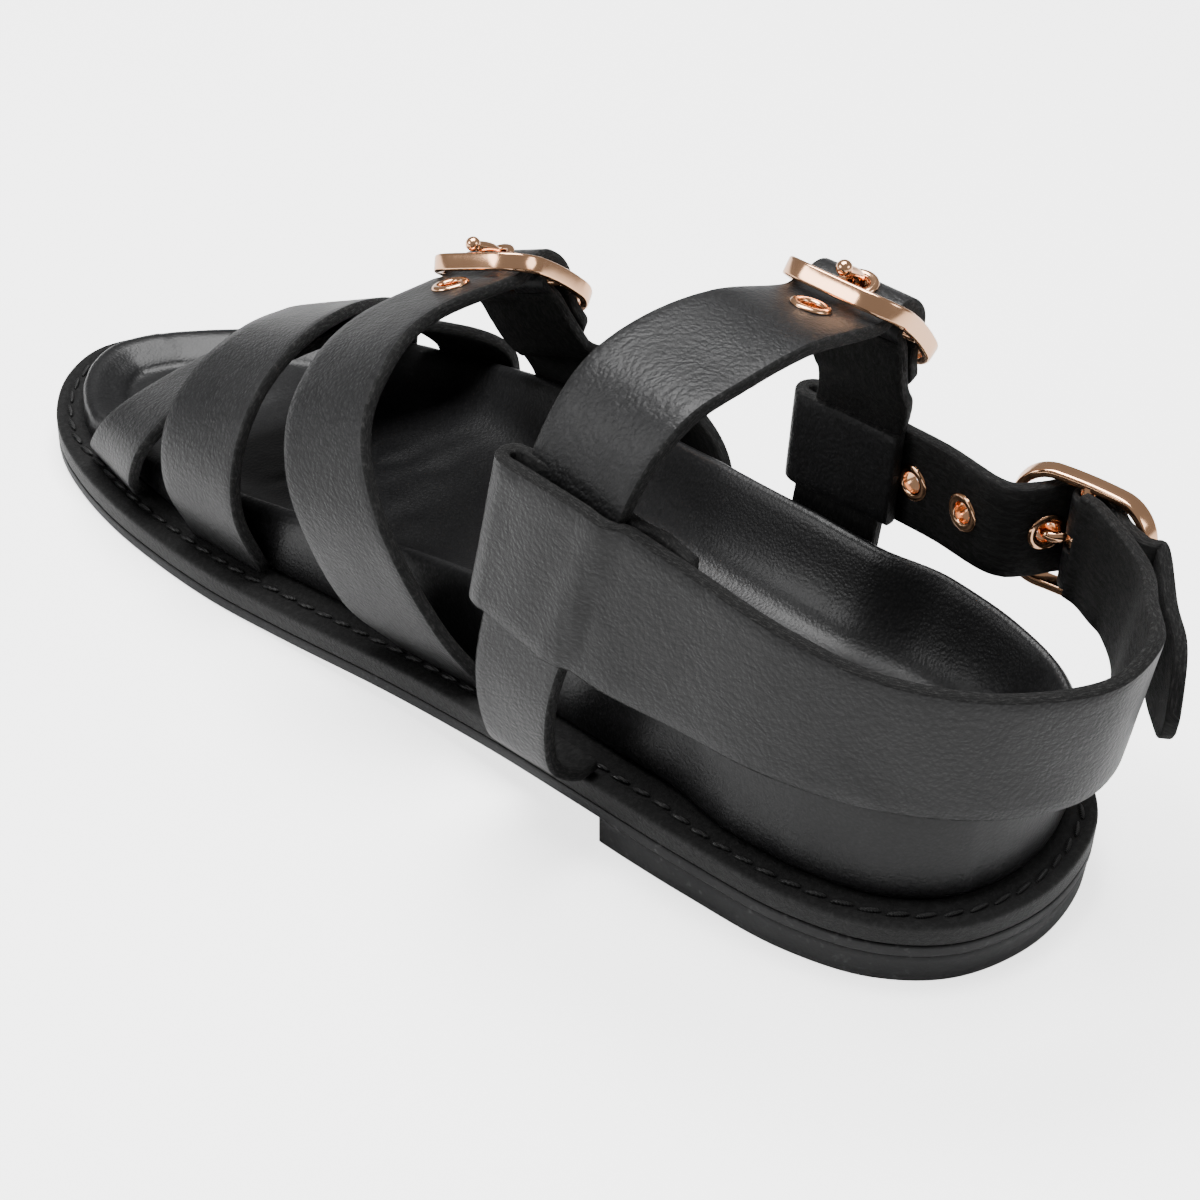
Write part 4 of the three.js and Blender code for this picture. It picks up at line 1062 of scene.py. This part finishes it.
# ----------------------------------------------------------------------- the buckles
# Cast zinc, polished and plated rose gold: a rounded rectangular frame, gently bent to
# the foot, with soft edges and a plain centre bar.
rose_gold, tree, shader = new_material("polished rose gold plate", (0.83, 0.47, 0.27), 0.14, 1.0)
where = tree.nodes.new("ShaderNodeTexCoord").outputs["Object"]
dust = place_group(tree, dust_group, {"Scale": 90.0, "Amount": 0.5}, where)
tree.links.new(mix_colours(tree, dust.outputs["Mask"], (0.84, 0.48, 0.28), (0.66, 0.38, 0.23)),
               shader.inputs["Base Color"])
tree.links.new(remap(tree, dust.outputs["Cloud"], 0.10, 0.20, 0.3, 0.7), shader.inputs["Roughness"])
cast = tree.nodes.new("ShaderNodeTexNoise")
cast.inputs["Scale"].default_value = 260
cast.inputs["Detail"].default_value = 2
tree.links.new(where, cast.inputs["Vector"])
bump(tree, shader, cast.outputs[0], 0.00003)


def frame_ring(place, inset, w, steps=14):
    half_u, half_v = END - inset, BUCKLE["width"] / 2 - inset
    radius = BUCKLE["corner"] - inset
    ring = []
    for su, sv, start in ((1, 1, 0), (-1, 1, 1), (-1, -1, 2), (1, -1, 3)):
        for i in range(steps + 1):
            angle = (start + i / steps) * math.pi / 2
            ring.append((su * (half_u - radius) + math.cos(angle) * radius,
                         sv * (half_v - radius) + math.sin(angle) * radius))
        nxt = {0: (-1, 1), 1: (-1, -1), 2: (1, -1), 3: (1, 1)}[start]
        a = ring[-1]
        angle = ((start + 1) % 4) * math.pi / 2
        b = (nxt[0] * (half_u - radius) + math.cos(angle) * radius,
             nxt[1] * (half_v - radius) + math.sin(angle) * radius)
        for s in (0.2, 0.4, 0.6, 0.8):
            ring.append((a[0] + (b[0] - a[0]) * s, a[1] + (b[1] - a[1]) * s))
    return [on_buckle(place, u, v, w) for u, v in ring]


def make_buckle(name, place):
    half, wall, soft = BUCKLE["band"] / 2, BUCKLE["wall"], 0.55
    section = []
    for cu, cw, start in ((soft, half - soft, 1), (wall - soft, half - soft, 0),
                          (wall - soft, -half + soft, 3), (soft, -half + soft, 2)):
        for i in range(5):
            angle = (start + 1 - i / 4) * math.pi / 2
            section.append((cu + math.cos(angle) * soft, cw + math.sin(angle) * soft))
    rings = [frame_ring(place, inset, w) for inset, w in section]
    count = len(rings[0])
    points = [p for ring in rings for p in ring]
    faces = []
    for r in range(len(rings)):
        s = (r + 1) % len(rings)
        for i in range(count):
            j = (i + 1) % count
            faces.append((r * count + i, r * count + j, s * count + j, s * count + i))
    band = make_piece(name, points, faces)
    bm_fix(band)
    reach = BUCKLE["width"] / 2 - wall / 2
    bar = rod("bar", on_buckle(place, 0, -reach, BUCKLE["bar"]), on_buckle(place, 0, reach, BUCKLE["bar"]),
              BUCKLE["bar_radius"])
    piece = join_pieces(name, [band, bar])
    piece.data.materials.clear()
    piece.data.materials.append(rose_gold)
    return piece


for name, place, node in (("instep_buckle", instep_place, "buckle_instep"),
                          ("ankle_buckle", ankle_place, "buckle_ankle"),
                          ("heel_buckle", heel_place, "buckle_heel")):
    buckle = make_buckle(name, place)
    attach(buckle, "root")
    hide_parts(node)

# ------------------------------------------------------------------ pins and eyelets
# Each pin is bent wire with a small ball on its tip, curled round the centre bar. The
# eyelets are drawn brass, rolled over on both faces of the leather.
def lathe(name, profile, centre, axis, sides=48):
    turn = Vector(axis).normalized().to_track_quat("Z", "Y")
    points, faces = [], []
    for r, h in profile:
        for i in range(sides):
            a = 2 * math.pi * i / sides
            points.append(np.array(centre) + np.array(turn @ Vector((math.cos(a) * r, math.sin(a) * r, h))))
    n = len(profile)
    for k in range(n):
        for i in range(sides):
            j = (i + 1) % sides
            m = (k + 1) % n
            faces.append((k * sides + i, k * sides + j, m * sides + j, m * sides + i))
    piece = make_piece(name, points, faces)
    bm_fix(piece)
    return piece


def make_eyelet(name, centre, out):
    bore, barrel, flange, lip = (EYELET[k] for k in ("bore", "barrel", "flange", "lip"))
    top = LEATHER / 2 + 0.12
    mid, rise = (bore + flange) / 2, lip
    profile = []
    for i in range(13):
        a = math.pi * i / 12
        profile.append((mid - math.cos(a) * (flange - bore) / 2, top + math.sin(a) * rise))
    profile += [(barrel, top), (barrel, -top)]
    for i in range(13):
        a = math.pi * i / 12
        profile.append((mid + math.cos(a) * (flange - bore) / 2, -top - math.sin(a) * rise * 0.7))
    return lathe(name, profile, centre, out)


def make_pin(name, place, hole):
    centre, out = hole
    bar = on_buckle(place, 0, 0, BUCKLE["bar"])
    top = BUCKLE["band"] / 2 + GAP + BUCKLE["pin"]
    route = rail([on_buckle(place, -1.7, 0, BUCKLE["bar"]), centre - out * 2.4, centre + out * 2.8,
                  on_buckle(place, -END + 1, 0, top + 0.1)])
    steps, sides = 40, 20
    t = np.linspace(0, 1, steps + 1)
    path = route(t)
    side = place[2]
    points, faces = [], []
    for i in range(steps + 1):
        ahead = path[min(i + 1, steps)] - path[max(i - 1, 0)]
        ahead /= np.linalg.norm(ahead)
        up = np.cross(ahead, side)
        up /= np.linalg.norm(up)
        for s in range(sides):
            a = 2 * math.pi * s / sides
            points.append(path[i] + (side * math.cos(a) + up * math.sin(a)) * BUCKLE["pin"])
    for i in range(steps):
        for s in range(sides):
            q = (s + 1) % sides
            faces.append((i * sides + s, i * sides + q, (i + 1) * sides + q, (i + 1) * sides + s))
    faces += [tuple(range(sides))[::-1], tuple(steps * sides + s for s in range(sides))]
    shank = make_piece(name, points, faces)
    bm_fix(shank)
    curl_profile = []
    for i in range(24):
        a = 2 * math.pi * i / 24
        curl_profile.append((2.02 + math.cos(a) * 0.45, math.sin(a) * 1.25))
    curl = lathe("curl", curl_profile, bar, side, 32)
    tip = on_buckle(place, -END + 1.5, 0, BUCKLE["band"] / 2 + GAP + BUCKLE["ball"])
    ball_profile = [(math.sin(math.pi * (i + 0.5) / 16) * BUCKLE["ball"],
                     -math.cos(math.pi * (i + 0.5) / 16) * BUCKLE["ball"]) for i in range(16)]
    points, faces, sides = [], [], 28
    for r, h in ball_profile:
        for i in range(sides):
            a = 2 * math.pi * i / sides
            points.append(tip + place[3] * h + (place[1] * math.cos(a) + place[2] * math.sin(a)) * r)
    for k in range(15):
        for i in range(sides):
            j = (i + 1) % sides
            faces.append((k * sides + i, k * sides + j, (k + 1) * sides + j, (k + 1) * sides + i))
    faces += [tuple(range(sides))[::-1], tuple(15 * sides + i for i in range(sides))]
    ball = make_piece("ball", points, faces)
    bm_fix(ball)
    piece = join_pieces(name, [shank, curl, ball])
    piece.data.materials.clear()
    piece.data.materials.append(rose_gold)
    return piece


for name, place, rows, holes in (("instep", instep_place, instep_rows, instep_holes),
                                 ("ankle", ankle_place, ankle_rows, ankle_holes),
                                 ("heel", heel_place, hole_rows, heel_holes)):
    spots = [hole_place(rows, index) for index in holes]
    pin = make_pin(name + "_buckle_pin", place, spots[-1])
    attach(pin, "root")
    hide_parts("pin_" + name)
    for number, (centre, out) in enumerate(spots, 1):
        eyelet = make_eyelet("%s_rolled_eyelet_%d" % (name, number), centre, out)
        eyelet.data.materials.append(rose_gold)
        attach(eyelet, "root")
        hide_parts("eyelet_%s_%d" % (name, number))
